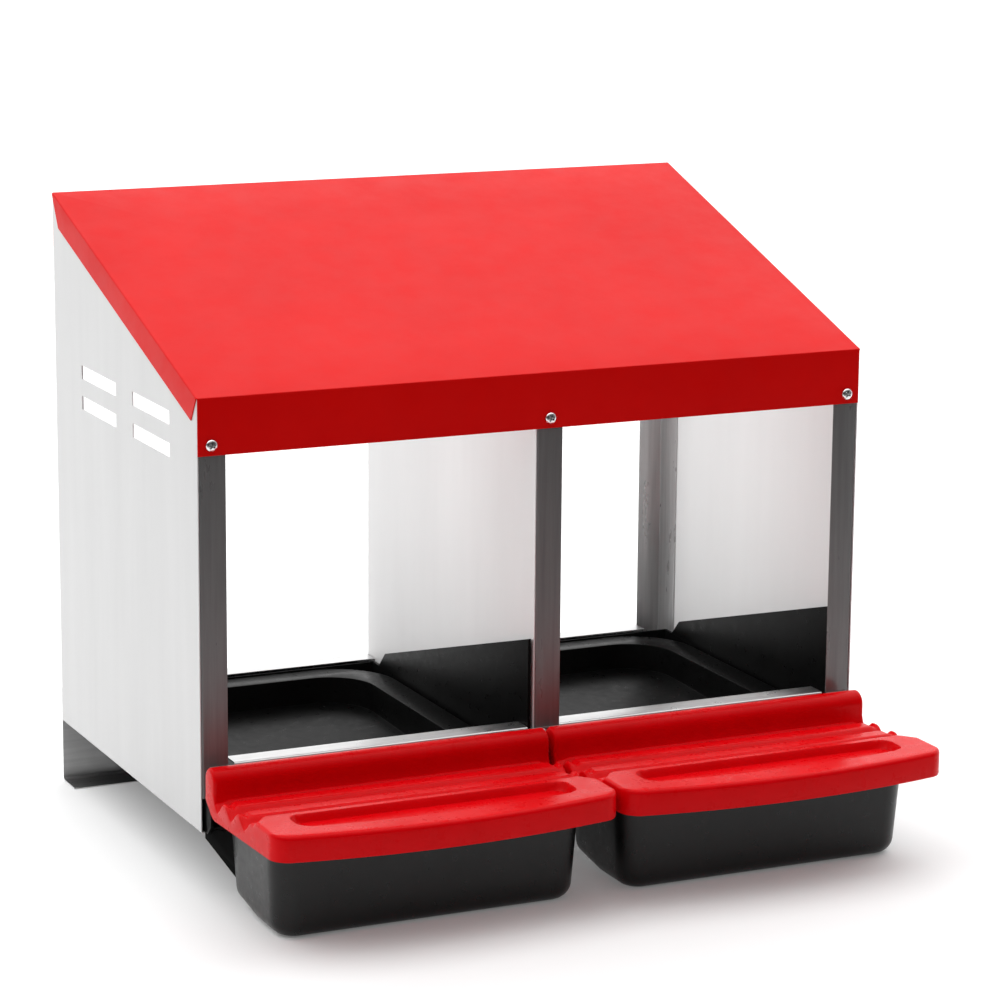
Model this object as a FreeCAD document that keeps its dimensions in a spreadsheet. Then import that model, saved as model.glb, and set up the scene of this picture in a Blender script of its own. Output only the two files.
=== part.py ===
"""Two-compartment roll-out nesting box for hens: sheet-steel housing, plastic basins, flip-up lids.

Every piece is modelled in the housing frame and placed as one group. In the housing frame x runs from
the left panel's outer face to the right one, y from the front flanges to the rear, and z upwards from the
side panels' lower edge. The finished part stands on z = 0 with its origin under the middle of its box.
"""
import FreeCAD, Part
import math
import os
import re
import Sketcher

DIMENSIONS = {
    # overall housing
    "width": 620.0,
    "body_depth": 371.6,
    "ground_gap": 57.0,
    "front_rise": 368.9,
    "rear_rise": 491.5,
    "sheet": 1.0,
    "lid_reach": 185.0,
    "head_rise": 2.6,
    # roof
    "fascia": 48.6,
    "roof_side_flange": 25.0,
    "flange_taper": 13.0,
    "rear_fascia": 50.0,
    # panels and posts
    "post_wide": 24.5,
    "post_foot": 30.0,
    "post_deep": 34.0,
    "runner": 18.0,
    "runner_leg": 20.0,
    "end_gap": 3.0,
    "fit_gap": 0.5,
    "divider_left": 305.5,
    "divider_right": 306.5,
    "slot_long": 93.0,
    "slot_tall": 12.0,
    "slot_front": 67.0,
    "slot_rear": 204.0,
    "slot_low": 307.0,
    "slot_high": 334.6,
    # sills and rear panel
    "sill_top": 58.0,
    "sill_deep": 20.0,
    "sill_drop": 10.0,
    "sill_inset": 30.5,
    "rear_ledge": 33.0,
    "foot_deep": 32.0,
    # basins
    "basin_left": 3.5,
    "basin_width": 300.0,
    "basin_pitch": 313.0,
    "plastic": 2.5,
    "basin_deep": 350.0,
    "basin_ledge": 21.0,
    "basin_rest": 1.2,
    "basin_floor": -9.0,
    "guard_front": 136.0,
    "guard_rear": 46.0,
    "guard_end": 318.0,
    "cheek_reach": 14.0,
    "chute_reach": 34.0,
    "chute_foot": -33.0,
    "chute_neck": 26.0,
    "chute_inset": 22.5,
    "wing_wall_top": 5.0,
    "wing_wall_rear": -4.0,
    "wing_wall_foot": -36.0,
    # nest pans
    "pan_gap": 4.0,
    "rim_top": 30.0,
    "rim_wide": 26.0,
    "rim_corner": 60.0,
    "bowl_corner": 45.0,
    "bowl_front": -3.8,
    "bowl_rear": 5.5,
    # egg trays
    "tray_top": 28.2,
    "tray_rear": 28.0,
    "tray_front": 133.0,
    "tray_side": 11.0,
    "tray_draft": 5.0,
    "tray_corner": 22.0,
    "tray_edge": 14.0,
    # lids and hinges
    "lid_width": 306.0,
    "lid_pitch": 311.0,
    "hinge_back": 20.5,
    "hinge_high": 51.5,
    "roll_radius": 11.0,
    "lid_bow": 16.0,
    "lid_corner": 14.0,
    "rib_start": 40.0,
    "rib_pitch": 30.5,
    "rib_back": 13.5,
    "rib_valley": 31.0,
    "rib_crest": 40.5,
    "deck_start": 113.0,
    "deck_top": 46.5,
    "skirt_rear": 20.5,
    "skirt_front": 24.5,
    "hollow_top": 28.5,
    "grip_long": 248.0,
    "grip_rear": 119.5,
    "grip_inset": 24.0,
    "grip_corner": 9.0,
    "grip_floor": 39.5,
    "rod_radius": 3.0,
    "rod_play": 0.05,
    "rod_inset": 2.5,
    "arm_inset": 14.0,
    "arm_thick": 2.0,
    "arm_slot": 7.0,
    "boss_end": 7.0,
    "bracket_plate": 1.5,
    "bracket_low": 33.0,
    "bracket_high": 57.0,
    "arm_low": 31.0,
    "arm_knee": 37.0,
    # fasteners
    "screw_radius": 2.5,
    "screw_head": 5.2,
    "hole_play": 0.2,
    "screw_inset": 12.0,
    "screw_centre": 318.0,
    "front_screw_high": 329.0,
    "rear_screw_high": 451.0,
    "nut_across": 8.0,
    "nut_thick": 3.2,
    "rivet_radius": 1.6,
    "rivet_head": 3.0,
    "rivet_rise": 1.2,
    "rivet_high": 53.0,
}

document = FreeCAD.newDocument("nesting_box")
sheet = document.addObject("Spreadsheet::Sheet", "Dims")
for row, (alias, size) in enumerate(DIMENSIONS.items(), start=1):
    sheet.set(f"A{row}", alias)
    sheet.set(f"B{row}", str(size))
    sheet.setAlias(f"B{row}", alias)
document.recompute()

pieces = []


def bound(expression):
    """The expression with every dimension written as a reference to the spreadsheet."""
    def refer(match):
        return "Dims." + match[0] if match[0] in DIMENSIONS else match[0]

    return re.sub(r"[a-z][a-z_]+", refer, expression)


def value(expression):
    """The number an expression of dimensions comes to."""
    return float(sheet.evalExpression(bound(expression)))


FRONT_PLANE = "(lid_reach - body_depth - sheet - head_rise) / 2"
BOW_RADIUS = "((lid_width / 2) ^ 2 + lid_bow ^ 2) / (2 * lid_bow)"
ROOF_SLOPE = "(rear_rise - front_rise) / body_depth"
ROOF_SKIN = f"sheet * sqrt(1 + ({ROOF_SLOPE}) ^ 2)"
BASIN_RIGHT = "basin_left + basin_width"
SCREW_HOLE = "screw_radius + hole_play"
FRONT_SCREWS = ("screw_inset", "screw_centre", "width - screw_inset")
REAR_SCREWS = ("screw_inset", "width - screw_inset")
BRACKET_RIVETS = {
    "left": "post_wide - 5",
    "centre": "divider_left + 8",
    "right": "width - post_wide + 15",
}


def seat(item, shift="0"):
    """Places a piece that is drawn in the housing frame, moved sideways by shift."""
    item.setExpression("Placement.Base.x", bound(f"({shift}) - width / 2"))
    item.setExpression("Placement.Base.y", bound(FRONT_PLANE))
    item.setExpression("Placement.Base.z", bound("ground_gap"))


def new_body(label, shift="0", keep=True):
    """A body seated in the housing frame. A body that only shapes another piece isn't kept."""
    body = document.addObject("PartDesign::Body", label)
    body.Label = label
    seat(body, shift)
    if keep:
        pieces.append(body)
    return body


def plane_sketch(body, name, plane, start):
    """An empty sketch on one of the body's origin planes, start along that plane's axis."""
    sketch = body.newObject("Sketcher::SketchObject", name)
    origin = [f for f in body.Origin.OriginFeatures if f.Role == plane + "_Plane"][0]
    sketch.AttachmentSupport = [(origin, "")]
    sketch.MapMode = "FlatFace"
    sign = "-" if plane == "XZ" else ""
    sketch.setExpression("AttachmentOffset.Base.z", bound(f"{sign}({start})"))
    return sketch


def pin_vertex(sketch, edge, vertex, point):
    """Holds one end of a sketch edge at a point given as two expressions."""
    for kind, expression in zip(("DistanceX", "DistanceY"), point):
        index = sketch.addConstraint(Sketcher.Constraint(kind, -1, 1, edge, vertex, value(expression)))
        sketch.setExpression(f"Constraints[{index}]", bound(expression))


def draw_outline(sketch, points, arcs=()):
    """Draws a closed outline. arcs maps the index of a point to the arc that leaves it for the next point:
    centre across, centre up, radius, and 1 for anticlockwise or -1 for clockwise."""
    arcs = dict(arcs)
    flat = [FreeCAD.Vector(value(u), value(v), 0) for u, v in points]
    for i, start in enumerate(flat):
        end = flat[(i + 1) % len(flat)]
        if i in arcs:
            centre_u, centre_v, radius, turn = arcs[i]
            centre = FreeCAD.Vector(value(centre_u), value(centre_v), 0)
            first, last = (start, end) if turn > 0 else (end, start)
            angles = [math.atan2(p.y - centre.y, p.x - centre.x) for p in (first, last)]
            circle = Part.Circle(centre, FreeCAD.Vector(0, 0, 1), value(radius))
            sketch.addGeometry(Part.ArcOfCircle(circle, *angles), False)
        else:
            sketch.addGeometry(Part.LineSegment(start, end), False)
    for i in range(len(points)):
        after = (i + 1) % len(points)
        leaving = 2 if i in arcs and arcs[i][3] < 0 else 1
        arriving = 1 if i in arcs and arcs[i][3] < 0 else 2
        entering = 2 if after in arcs and arcs[after][3] < 0 else 1
        sketch.addConstraint(Sketcher.Constraint("Coincident", i, arriving, after, entering))
        pin_vertex(sketch, i, leaving, points[i])
        if i in arcs:
            chord = flat[after] - flat[i]
            level = abs(chord.x) > abs(chord.y)
            kind = "DistanceY" if level else "DistanceX"
            expression = arcs[i][1] if level else arcs[i][0]
            index = sketch.addConstraint(Sketcher.Constraint(kind, -1, 1, i, 3, value(expression)))
            sketch.setExpression(f"Constraints[{index}]", bound(expression))
    return sketch


def draw_circle(sketch, u, v, radius):
    """Draws a circle whose centre and radius are expressions."""
    circle = Part.Circle(FreeCAD.Vector(value(u), value(v), 0), FreeCAD.Vector(0, 0, 1), value(radius))
    edge = sketch.addGeometry(circle, False)
    pin_vertex(sketch, edge, 3, (u, v))
    index = sketch.addConstraint(Sketcher.Constraint("Radius", edge, value(radius)))
    sketch.setExpression(f"Constraints[{index}]", bound(radius))


def extrude(body, kind, name, plane, start, length, points=None, arcs=(), circles=()):
    """Pads or pockets an outline from start, for length along the axis that the plane faces."""
    before = body.Tip.Shape.Volume if kind == "Pocket" else 0.0
    sketch = plane_sketch(body, name + "_sketch", plane, start)
    if points:
        draw_outline(sketch, points, arcs)
    for u, v, radius in circles:
        draw_circle(sketch, u, v, radius)
    feature = body.newObject("PartDesign::" + kind, name)
    feature.Profile = sketch
    feature.setExpression("Length", bound(length))
    feature.Reversed = (plane == "XZ") == (kind == "Pad")
    sketch.Visibility = False
    document.recompute()
    if kind == "Pocket" and body.Tip.Shape.Volume >= before - 1e-3:
        raise RuntimeError(f"{name} cuts nothing from {body.Label}")
    return feature


def pad(body, name, plane, start, length, points=None, arcs=(), circles=()):
    return extrude(body, "Pad", name, plane, start, length, points, arcs, circles)


def pocket(body, name, plane, start, length, points=None, arcs=(), circles=()):
    return extrude(body, "Pocket", name, plane, start, length, points, arcs, circles)


def rectangle(u0, u1, v0, v1):
    return [(u0, v0), (u1, v0), (u1, v1), (u0, v1)]


def fillet(body, name, radius, chosen):
    """Rounds the edges of the body for which chosen(first end, last end) is true."""
    base = body.Tip
    edges = []
    for number, edge in enumerate(base.Shape.Edges, start=1):
        ends = [v.Point for v in edge.Vertexes]
        if len(ends) == 2 and chosen(*ends):
            edges.append(f"Edge{number}")
    if not edges:
        raise RuntimeError(f"{name} finds no edge on {body.Label}")
    feature = body.newObject("PartDesign::Fillet", name)
    feature.Base = (base, edges)
    feature.setExpression("Radius", bound(radius))
    document.recompute()
    return feature


def upright(a, b, x, y, near=0.6):
    """True for an edge that stands over the point x, y."""
    return max(abs(a.x - x), abs(b.x - x), abs(a.y - y), abs(b.y - y)) < near


# ---------------------------------------------------------------------------------------------- housing

def roof_line(y, drop="0"):
    """Height of the roof's upper face at depth y, lowered by drop."""
    return f"front_rise + ({y}) * {ROOF_SLOPE} - ({drop})"


def roof_panel():
    """One folded sheet: front fascia, sloping top, rear fascia and two narrow side flanges."""
    body = new_body("roof_panel")
    back = "body_depth"
    outline = [
        ("-sheet", "front_rise - fascia"),
        ("0", "front_rise - fascia"),
        ("0", roof_line("0", ROOF_SKIN)),
        (back, roof_line(back, ROOF_SKIN)),
        (back, "rear_rise - rear_fascia"),
        (f"{back} + sheet", "rear_rise - rear_fascia"),
        (f"{back} + sheet", roof_line(f"{back} + sheet")),
        ("-sheet", roof_line("-sheet")),
    ]
    pad(body, "folded_strip", "YZ", "-sheet", "width + 2 * sheet", outline)
    lean = f"roof_side_flange * {ROOF_SLOPE}"
    tail = f"{back} - end_gap"
    for side, start in (("left", "-sheet"), ("right", "width")):
        flange = [
            ("end_gap", roof_line("end_gap", "fit_gap")),
            (f"end_gap + {lean}", roof_line(f"end_gap + {lean}", "roof_side_flange")),
            (f"{tail} - flange_taper", roof_line(f"{tail} - flange_taper", "roof_side_flange")),
            (tail, roof_line(tail, "fit_gap")),
        ]
        pad(body, side + "_flange", "YZ", start, "sheet", flange)
    holes = [(x, "front_screw_high", SCREW_HOLE) for x in FRONT_SCREWS]
    pocket(body, "front_holes", "XZ", "-sheet", "sheet", circles=holes)
    holes = [(x, "rear_screw_high", SCREW_HOLE) for x in REAR_SCREWS]
    pocket(body, "rear_holes", "XZ", back, "sheet", circles=holes)


def panel_outline(front, rear, low):
    """Side view of an upright sheet whose sloping top edge meets the underside of the roof."""
    return [
        (front, low),
        (rear, low),
        (rear, roof_line(rear, ROOF_SKIN)),
        (front, roof_line(front, ROOF_SKIN)),
    ]


def reach_in(outer, inward, near, far):
    """The two x values, lower first, that lie near and far inwards from an outer face."""
    if inward > 0:
        return f"{outer} + {near}", f"{outer} + {far}"
    return f"{outer} - ({far})", f"{outer} - ({near})"


def side_panel(label, outer, inward):
    """A side wall with four vent slots, folded in at its foot as a runner for the basin."""
    body = new_body(label)
    low, _ = reach_in(outer, inward, "0", "sheet")
    pad(body, "wall", "YZ", low, "sheet", panel_outline("0", "body_depth", "0"))
    near, far = reach_in(outer, inward, "0", "runner")
    pad(body, "runner_flange", "XY", "0", "sheet", rectangle(near, far, "end_gap", "body_depth - end_gap"))
    for column in ("slot_front", "slot_rear"):
        for tier in ("slot_low", "slot_high"):
            slot = rectangle(column, f"{column} + slot_long", tier, f"{tier} + slot_tall")
            pocket(body, f"{column}_{tier}", "YZ", low, "sheet", slot)


def centre_divider():
    """The plain sheet between the two compartments."""
    body = new_body("centre_divider")
    outline = panel_outline("sheet", "body_depth - sheet - fit_gap", "0")
    pad(body, "wall", "YZ", "divider_left", "divider_right - divider_left", outline)


def divider_runner(label, base_x0, base_x1, leg_x0):
    """An angle beside the divider's foot on which one side of a basin rests."""
    body = new_body(label)
    base = rectangle(base_x0, base_x1, "end_gap", "body_depth - end_gap")
    pad(body, "base", "XY", "0", "sheet", base)
    leg = rectangle("end_gap", "body_depth - end_gap", "0", "runner_leg")
    pad(body, "leg", "YZ", leg_x0, "sheet", leg)


def front_post(label, face_x0, face_x1, leg_x0, screw_x, rivet_x):
    """A front angle: its face frames the opening and its leg lies along the wall or the divider."""
    body = new_body(label)
    top = roof_line("0", ROOF_SKIN)
    pad(body, "face", "XZ", "0", "sheet", rectangle(face_x0, face_x1, "post_foot", top))
    leg = panel_outline("fit_gap", "post_deep", "post_foot")
    pad(body, "leg", "YZ", leg_x0, "sheet", leg)
    holes = [(screw_x, "front_screw_high", SCREW_HOLE), (rivet_x, "rivet_high", "rivet_radius")]
    pocket(body, "holes", "XZ", "0", "sheet", circles=holes)


def corner_post(label, outer, inward):
    """A rear corner angle: one leg across the back, the other along the inside of the side wall."""
    body = new_body(label)
    rear = "body_depth - sheet"
    foot = "sheet + fit_gap"
    low, high = reach_in(outer, inward, "sheet", "sheet + post_wide")
    pad(body, "rear_leg", "XZ", rear, "sheet", rectangle(low, high, foot, roof_line(rear, ROOF_SKIN)))
    low, _ = reach_in(outer, inward, "sheet", "2 * sheet")
    pad(body, "side_leg", "YZ", low, "sheet", panel_outline("body_depth - post_deep", rear, foot))
    hole = f"{outer} {'+' if inward > 0 else '-'} screw_inset"
    holes = [(hole, "rear_screw_high", SCREW_HOLE), (hole, "rear_ledge / 2", "rivet_radius")]
    pocket(body, "holes", "XZ", rear, "sheet", circles=holes)


def rear_foot_panel():
    """The lower rear sheet: a ledge under the rear openings, an apron and the foot on the floor."""
    body = new_body("rear_foot_panel")
    rear = "body_depth"
    pad(body, "apron", "XZ", rear, "sheet", rectangle("0", "width", "-ground_gap", "rear_ledge"))
    foot = rectangle("0", "width", f"{rear} - foot_deep", rear)
    pad(body, "foot", "XY", "-ground_gap", "sheet", foot)
    for side, x0, x1 in (
        ("left", "post_wide + 2 * sheet", "divider_left - sheet"),
        ("right", "divider_right + sheet", "width - post_wide - 2 * sheet"),
    ):
        ledge = rectangle(x0, x1, f"{rear} - sill_deep", rear)
        pad(body, side + "_ledge", "XY", "rear_ledge - sheet", "sheet", ledge)
    holes = [(x, "rear_ledge / 2", "rivet_radius") for x in REAR_SCREWS]
    pocket(body, "rivet_holes", "XZ", rear, "sheet", circles=holes)


def front_sill(label, top_x0, top_x1, leg_x0, leg_x1, rivets):
    """The strip across the foot of one opening, with a short leg that is riveted behind the posts."""
    body = new_body(label)
    leg = rectangle(leg_x0, leg_x1, "sill_top - sill_drop", "sill_top")
    pad(body, "leg", "XZ", "sheet", "sheet", leg)
    tread = rectangle(top_x0, top_x1, "sheet", "sheet + sill_deep")
    pad(body, "tread", "XY", "sill_top - sheet", "sheet", tread)
    holes = [(x, "rivet_high", "rivet_radius") for x in rivets]
    pocket(body, "rivet_holes", "XZ", "sheet", "sheet", circles=holes)


# ----------------------------------------------------------------------------------------- plastic ware

def nest_basin(label, shift):
    """The outer tub under a compartment: dropped floor, side guards, rear wall and the egg chute."""
    body = new_body(label, shift)
    step_left = "basin_left + basin_ledge - plastic"
    step_right = f"{BASIN_RIGHT} - basin_ledge"
    floor = rectangle(step_left, f"{step_right} + plastic", "0", "basin_deep")
    pad(body, "floor", "XY", "basin_floor", "plastic", floor)
    for side, start in (("left", step_left), ("right", step_right)):
        riser = rectangle("0", "basin_deep", "basin_floor", "basin_rest + plastic")
        pad(body, side + "_riser", "YZ", start, "plastic", riser)
    for side, x0, x1 in (
        ("left", "basin_left", "basin_left + basin_ledge"),
        ("right", f"{BASIN_RIGHT} - basin_ledge", BASIN_RIGHT),
    ):
        pad(body, side + "_ledge", "XY", "basin_rest", "plastic", rectangle(x0, x1, "0", "basin_deep"))
    guard = [
        ("8 - cheek_reach", "basin_rest"),
        ("basin_deep", "basin_rest"),
        ("basin_deep", "rim_top + 1"),
        ("guard_end + 15", "rim_top + 1"),
        ("guard_end", "guard_rear"),
        ("3", "guard_front"),
        ("3", "post_foot - 0.5"),
        ("-cheek_reach", "post_foot - 0.5"),
        ("-cheek_reach", "basin_rest + 8"),
    ]
    for side, start in (("left", "basin_left"), ("right", f"{BASIN_RIGHT} - plastic")):
        pad(body, side + "_guard", "YZ", start, "plastic", guard)
    back = rectangle("basin_left", BASIN_RIGHT, "basin_rest", "rim_top + 1")
    pad(body, "rear_wall", "XZ", "basin_deep - plastic", "plastic", back)
    back = rectangle(step_left, f"{step_right} + plastic", "basin_floor", "basin_rest + plastic")
    pad(body, "rear_riser", "XZ", "basin_deep - plastic", "plastic", back)
    chute = [
        ("0", "basin_floor"),
        ("0", "basin_floor + plastic"),
        ("-chute_reach", "chute_foot + plastic"),
        ("-chute_reach", "chute_foot"),
    ]
    pad(body, "chute", "YZ", step_left, f"{step_right} + plastic - ({step_left})", chute)
    wing = [
        ("0", "basin_rest"),
        ("0", "basin_rest + plastic"),
        ("-chute_reach", "chute_foot + plastic"),
        ("-chute_reach", "chute_foot"),
    ]
    pad(body, "left_wing", "YZ", "basin_left", "basin_ledge", wing)
    pad(body, "right_wing", "YZ", step_right, "basin_ledge", wing)
    for side, edge, inner, outer in (
        ("left", "basin_left", "chute_inset", "-5"),
        ("right", BASIN_RIGHT, "2 * basin_left + basin_width - chute_inset", "basin_width + 10"),
    ):
        trim = [
            (edge, "-0.01"),
            (inner, "-chute_neck"),
            (inner, "-chute_reach - 1"),
            (outer, "-chute_reach - 1"),
            (outer, "-0.01"),
        ]
        pocket(body, side + "_trim", "XY", "chute_foot - 1", "basin_rest - chute_foot + 0.99", trim)
    wing_wall(body, "left")
    wing_wall(body, "right")
    below = [
        ("0", "wing_wall_rear"),
        ("-chute_neck - 0.5", "wing_wall_foot"),
        ("-chute_neck - 0.5", "wing_wall_foot - 1"),
        ("0", "wing_wall_foot - 1"),
    ]
    pocket(body, "wall_foot", "YZ", "0", "basin_width + 2 * basin_left", below)


def wing_wall(body, side):
    """The moulded wall that closes one side of the chute, from the panel's front edge to the tray."""
    edge, inner = "basin_left", "chute_inset"
    thick = "plastic"
    if side == "right":
        edge, inner = BASIN_RIGHT, "2 * basin_left + basin_width - chute_inset"
        thick = "-plastic"
    plan = [
        (edge, "-0.01"),
        (f"{edge} + {thick}", "-0.01"),
        (f"{inner} + {thick}", "-chute_neck"),
        (inner, "-chute_neck"),
    ]
    pad(body, side + "_wall", "XY", "wing_wall_foot", "wing_wall_top - wing_wall_foot", plan)


def nest_pan(label, shift):
    """The drop-in pan: a level rim round a bowl whose floor falls towards the open front."""
    body = new_body(label, shift)
    x0, x1 = "basin_left + plastic + pan_gap", f"{BASIN_RIGHT} - plastic - pan_gap"
    y0, y1 = "sheet + 2.5", "basin_deep - plastic - 3"
    low = "basin_rest + plastic"
    pad(body, "cap", "XY", low, f"rim_top - ({low})", rectangle(x0, x1, y0, y1))
    corners = [(value(x), value(y1)) for x in (x0, x1)]
    fillet(body, "rear_corners", "rim_corner", lambda a, b: any(upright(a, b, *c) for c in corners))
    inset = rectangle(f"{x0} + plastic", f"{x1} - plastic", f"{y0} + plastic", f"{y1} - rim_corner")
    pocket(body, "underside", "XY", low, f"rim_top - plastic - ({low})", inset)
    inset = rectangle(f"{x0} + rim_corner", f"{x1} - rim_corner", f"{y1} - rim_corner", f"{y1} - plastic")
    pocket(body, "rear_underside", "XY", low, f"rim_top - plastic - ({low})", inset)
    bowl_x0, bowl_x1 = f"{x0} + rim_wide", f"{x1} - rim_wide"
    bowl_y1 = f"{y1} - rim_wide"
    tub = [
        (y0, "bowl_front - plastic"),
        (f"{bowl_y1} + plastic", "bowl_rear - plastic"),
        (f"{bowl_y1} + plastic", "rim_top - plastic"),
        (y0, "rim_top - plastic"),
    ]
    pad(body, "tub", "YZ", f"{bowl_x0} - plastic", f"{bowl_x1} - ({bowl_x0}) + 2 * plastic", tub)
    bowl = [
        (f"{y0} - 1", "bowl_front"),
        (bowl_y1, "bowl_rear"),
        (bowl_y1, "rim_top + 1"),
        (f"{y0} - 1", "rim_top + 1"),
    ]
    pocket(body, "bowl", "YZ", bowl_x0, f"{bowl_x1} - ({bowl_x0})", bowl)
    corners = [(value(x), value(bowl_y1)) for x in (bowl_x0, bowl_x1)]
    fillet(body, "bowl_corners", "bowl_corner", lambda a, b: any(upright(a, b, *c) for c in corners))


def tray_block(body, inset):
    """The drafted, rounded tub form of a tray, shrunk by inset on every closed side."""
    x0, x1 = f"basin_left + tray_side + {inset}", f"{BASIN_RIGHT} - tray_side - {inset}"
    low, rear, front = f"-ground_gap + {inset}", f"-tray_rear - {inset}", f"-tray_front + {inset}"
    side_view = [
        (f"{rear} - 4", f"{low} + 6"),
        (f"{rear} - 44", low),
        (f"{front} + 6", low),
        (front, "tray_top"),
        (rear, "tray_top"),
    ]
    pad(body, "block", "YZ", x0, f"{x1} - ({x0})", side_view)
    for side, edge, inward in (("left", x0, "+ tray_draft"), ("right", x1, "- tray_draft")):
        wedge = [(edge, "tray_top"), (f"{edge} {inward}", low), (edge, low)]
        pocket(body, side + "_draft", "XZ", "-tray_front - 1", "tray_front - tray_rear + 2", wedge)
    reach = value(f"{front} + 8")

    def front_upright(a, b):
        return a.y < reach and b.y < reach and abs(a.z - b.z) > 40

    fillet(body, "front_corners", f"tray_corner - {inset}", front_upright)
    top = value("tray_top - 30")
    back = value(f"{rear} - 6")

    def lower_edge(a, b):
        return max(a.z, b.z) < top and min(a.y, b.y) < back

    fillet(body, "lower_edges", f"tray_edge - {inset}", lower_edge)


def egg_tray(label, shift):
    """The collecting tray: a drafted tub on the floor, with its rear wall cut down below the chute."""
    body = new_body("tray_outer", shift, keep=False)
    tray_block(body, "0")
    inset = "tray_side + tray_draft + 1.5"
    low, high = "chute_foot - 1", "tray_top + 1"
    window = rectangle(f"basin_left + {inset}", f"{BASIN_RIGHT} - ({inset})", low, high)
    pocket(body, "chute_window", "XZ", "-tray_rear - 8", "10", window)
    core = new_body("tray_core", shift, keep=False)
    tray_block(core, "plastic")
    hollow_out(label, body, core)


def hollow_out(label, outer, core):
    """The outer body with its core taken away, as one piece."""
    cut = document.addObject("Part::Cut", label)
    cut.Label = label
    cut.Base = outer
    cut.Tool = core
    document.recompute()
    pieces.append(cut)


# -------------------------------------------------------------------------------------- lids and hinges

def trim_bow(body, inset):
    """Cuts the front of a lid body to its shallow outward bow, moved inwards by inset."""
    radius = f"{BOW_RADIUS} - {inset}"
    centre = f"{BOW_RADIUS} - lid_reach"
    side = "5"
    depth = f"{centre} - sqrt(({radius}) ^ 2 - (lid_width / 2 + {side}) ^ 2)"
    outline = [
        (f"-{side}", "-lid_reach - 10"),
        (f"lid_width + {side}", "-lid_reach - 10"),
        (f"lid_width + {side}", depth),
        (f"-{side}", depth),
    ]
    pocket(body, "bow", "XY", "-10", "100", outline, {2: ("lid_width / 2", centre, radius, -1)})
    ends = [value(inset), value(f"lid_width - {inset}")]
    front = value("-lid_reach + lid_bow + lid_corner")

    def front_corner(a, b):
        beside = abs(a.x - b.x) < 0.1 and min(abs(a.x - x) for x in ends) < 0.1
        return beside and a.y < front and abs(a.z - b.z) > 10

    fillet(body, "front_corners", f"lid_corner - {inset}", front_corner)


def lid_core(shift):
    """The hollow inside a lid, left solid round the grip recess and the hinge bosses."""
    body = new_body("lid_core", shift, keep=False)
    inner = "roll_radius - plastic"
    profile = [
        ("-hinge_back + " + inner, "10"),
        ("-hinge_back + " + inner, "hinge_high"),
        ("-hinge_back - (" + inner + ")", "hinge_high"),
        ("-hinge_back - (" + inner + ")", "rib_valley"),
        ("4 - rib_start", "hollow_top"),
        ("13 - deck_start", "hollow_top"),
        ("1 - deck_start", "deck_top - plastic"),
        ("-lid_reach + plastic", "deck_top - plastic"),
        ("-lid_reach + plastic", "10"),
    ]
    arcs = {1: ("-hinge_back", "hinge_high", inner, 1)}
    pad(body, "hollow", "YZ", "plastic", "lid_width - 2 * plastic", profile, arcs)
    trim_bow(body, "plastic")
    pocket(body, "grip_floor_clear", "XY", "grip_floor - plastic", "20", *grip_outline("plastic"))
    for side, start in (("left", "plastic"), ("right", "lid_width - boss_end")):
        boss = [("-hinge_back", "hinge_high", f"{inner} + 0.5")]
        pocket(body, side + "_boss_clear", "YZ", start, "boss_end - plastic", circles=boss)
    return body


def grip_outline(extra):
    """The long recess in the lid's front part: straight at the rear, bowed like the lid in front."""
    half = f"(grip_long / 2 + {extra})"
    x0, x1 = f"lid_width / 2 - {half}", f"lid_width / 2 + {half}"
    rear = f"{extra} - grip_rear"
    centre = f"{BOW_RADIUS} - lid_reach"
    radius = f"{BOW_RADIUS} - grip_inset + {extra}"
    front = f"{centre} - sqrt(({radius}) ^ 2 - {half} ^ 2)"
    points = [(x0, rear), (x1, rear), (x1, front), (x0, front)]
    return points, {2: ("lid_width / 2", centre, radius, -1)}


def lid(label, shift):
    """One flip-up lid: hinge roll, two ribs, raised front with a grip recess and a short skirt."""
    body = new_body("lid_outer", shift, keep=False)
    profile = [
        ("-hinge_back + roll_radius", "38"),
        ("-hinge_back + roll_radius", "hinge_high"),
        ("-hinge_back - roll_radius", "hinge_high"),
        ("-hinge_back - roll_radius", "36"),
        ("-rib_start", "rib_valley"),
        ("-rib_start - rib_back", "rib_crest"),
        ("-rib_start - rib_pitch", "rib_valley + 1"),
        ("-rib_start - rib_pitch - rib_back", "rib_crest + 1"),
        ("-rib_start - 2 * rib_pitch", "rib_valley + 2"),
        ("-deck_start", "deck_top"),
        ("-lid_reach", "deck_top"),
        ("-lid_reach", "skirt_front"),
        ("-33", "skirt_rear"),
        ("-23", "24"),
        ("-23", "32"),
    ]
    arcs = {1: ("-hinge_back", "hinge_high", "roll_radius", 1)}
    pad(body, "block", "YZ", "0", "lid_width", profile, arcs)
    trim_bow(body, "0")
    pocket(body, "grip", "XY", "grip_floor", "20", *grip_outline("0"))
    inside = [value(f"(lid_width - grip_long) / 2 {sign} 1") for sign in "-+"]
    inside += [value(f"(lid_width + grip_long) / 2 {sign} 1") for sign in "-+"]

    def grip_corner(a, b):
        beside = abs(a.x - b.x) < 0.1 and (inside[0] < a.x < inside[1] or inside[2] < a.x < inside[3])
        return beside and abs(a.y - b.y) < 0.1

    fillet(body, "grip_corners", "grip_corner", grip_corner)
    bore = [("-hinge_back", "hinge_high", "rod_radius + rod_play")]
    pocket(body, "left_bore", "YZ", "rod_inset - 0.5", "boss_end", circles=bore)
    pocket(body, "right_bore", "YZ", "lid_width - rod_inset - boss_end + 0.5", "boss_end", circles=bore)
    for side, middle in (("left", "arm_inset"), ("right", "lid_width - arm_inset")):
        slot = rectangle(f"{middle} - arm_slot / 2", f"{middle} + arm_slot / 2", "36", "57.5")
        pocket(body, side + "_arm_slot", "XZ", "-hinge_back + roll_radius - 7", "8", slot)
    hollow_out(label, body, lid_core(shift))


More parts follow.
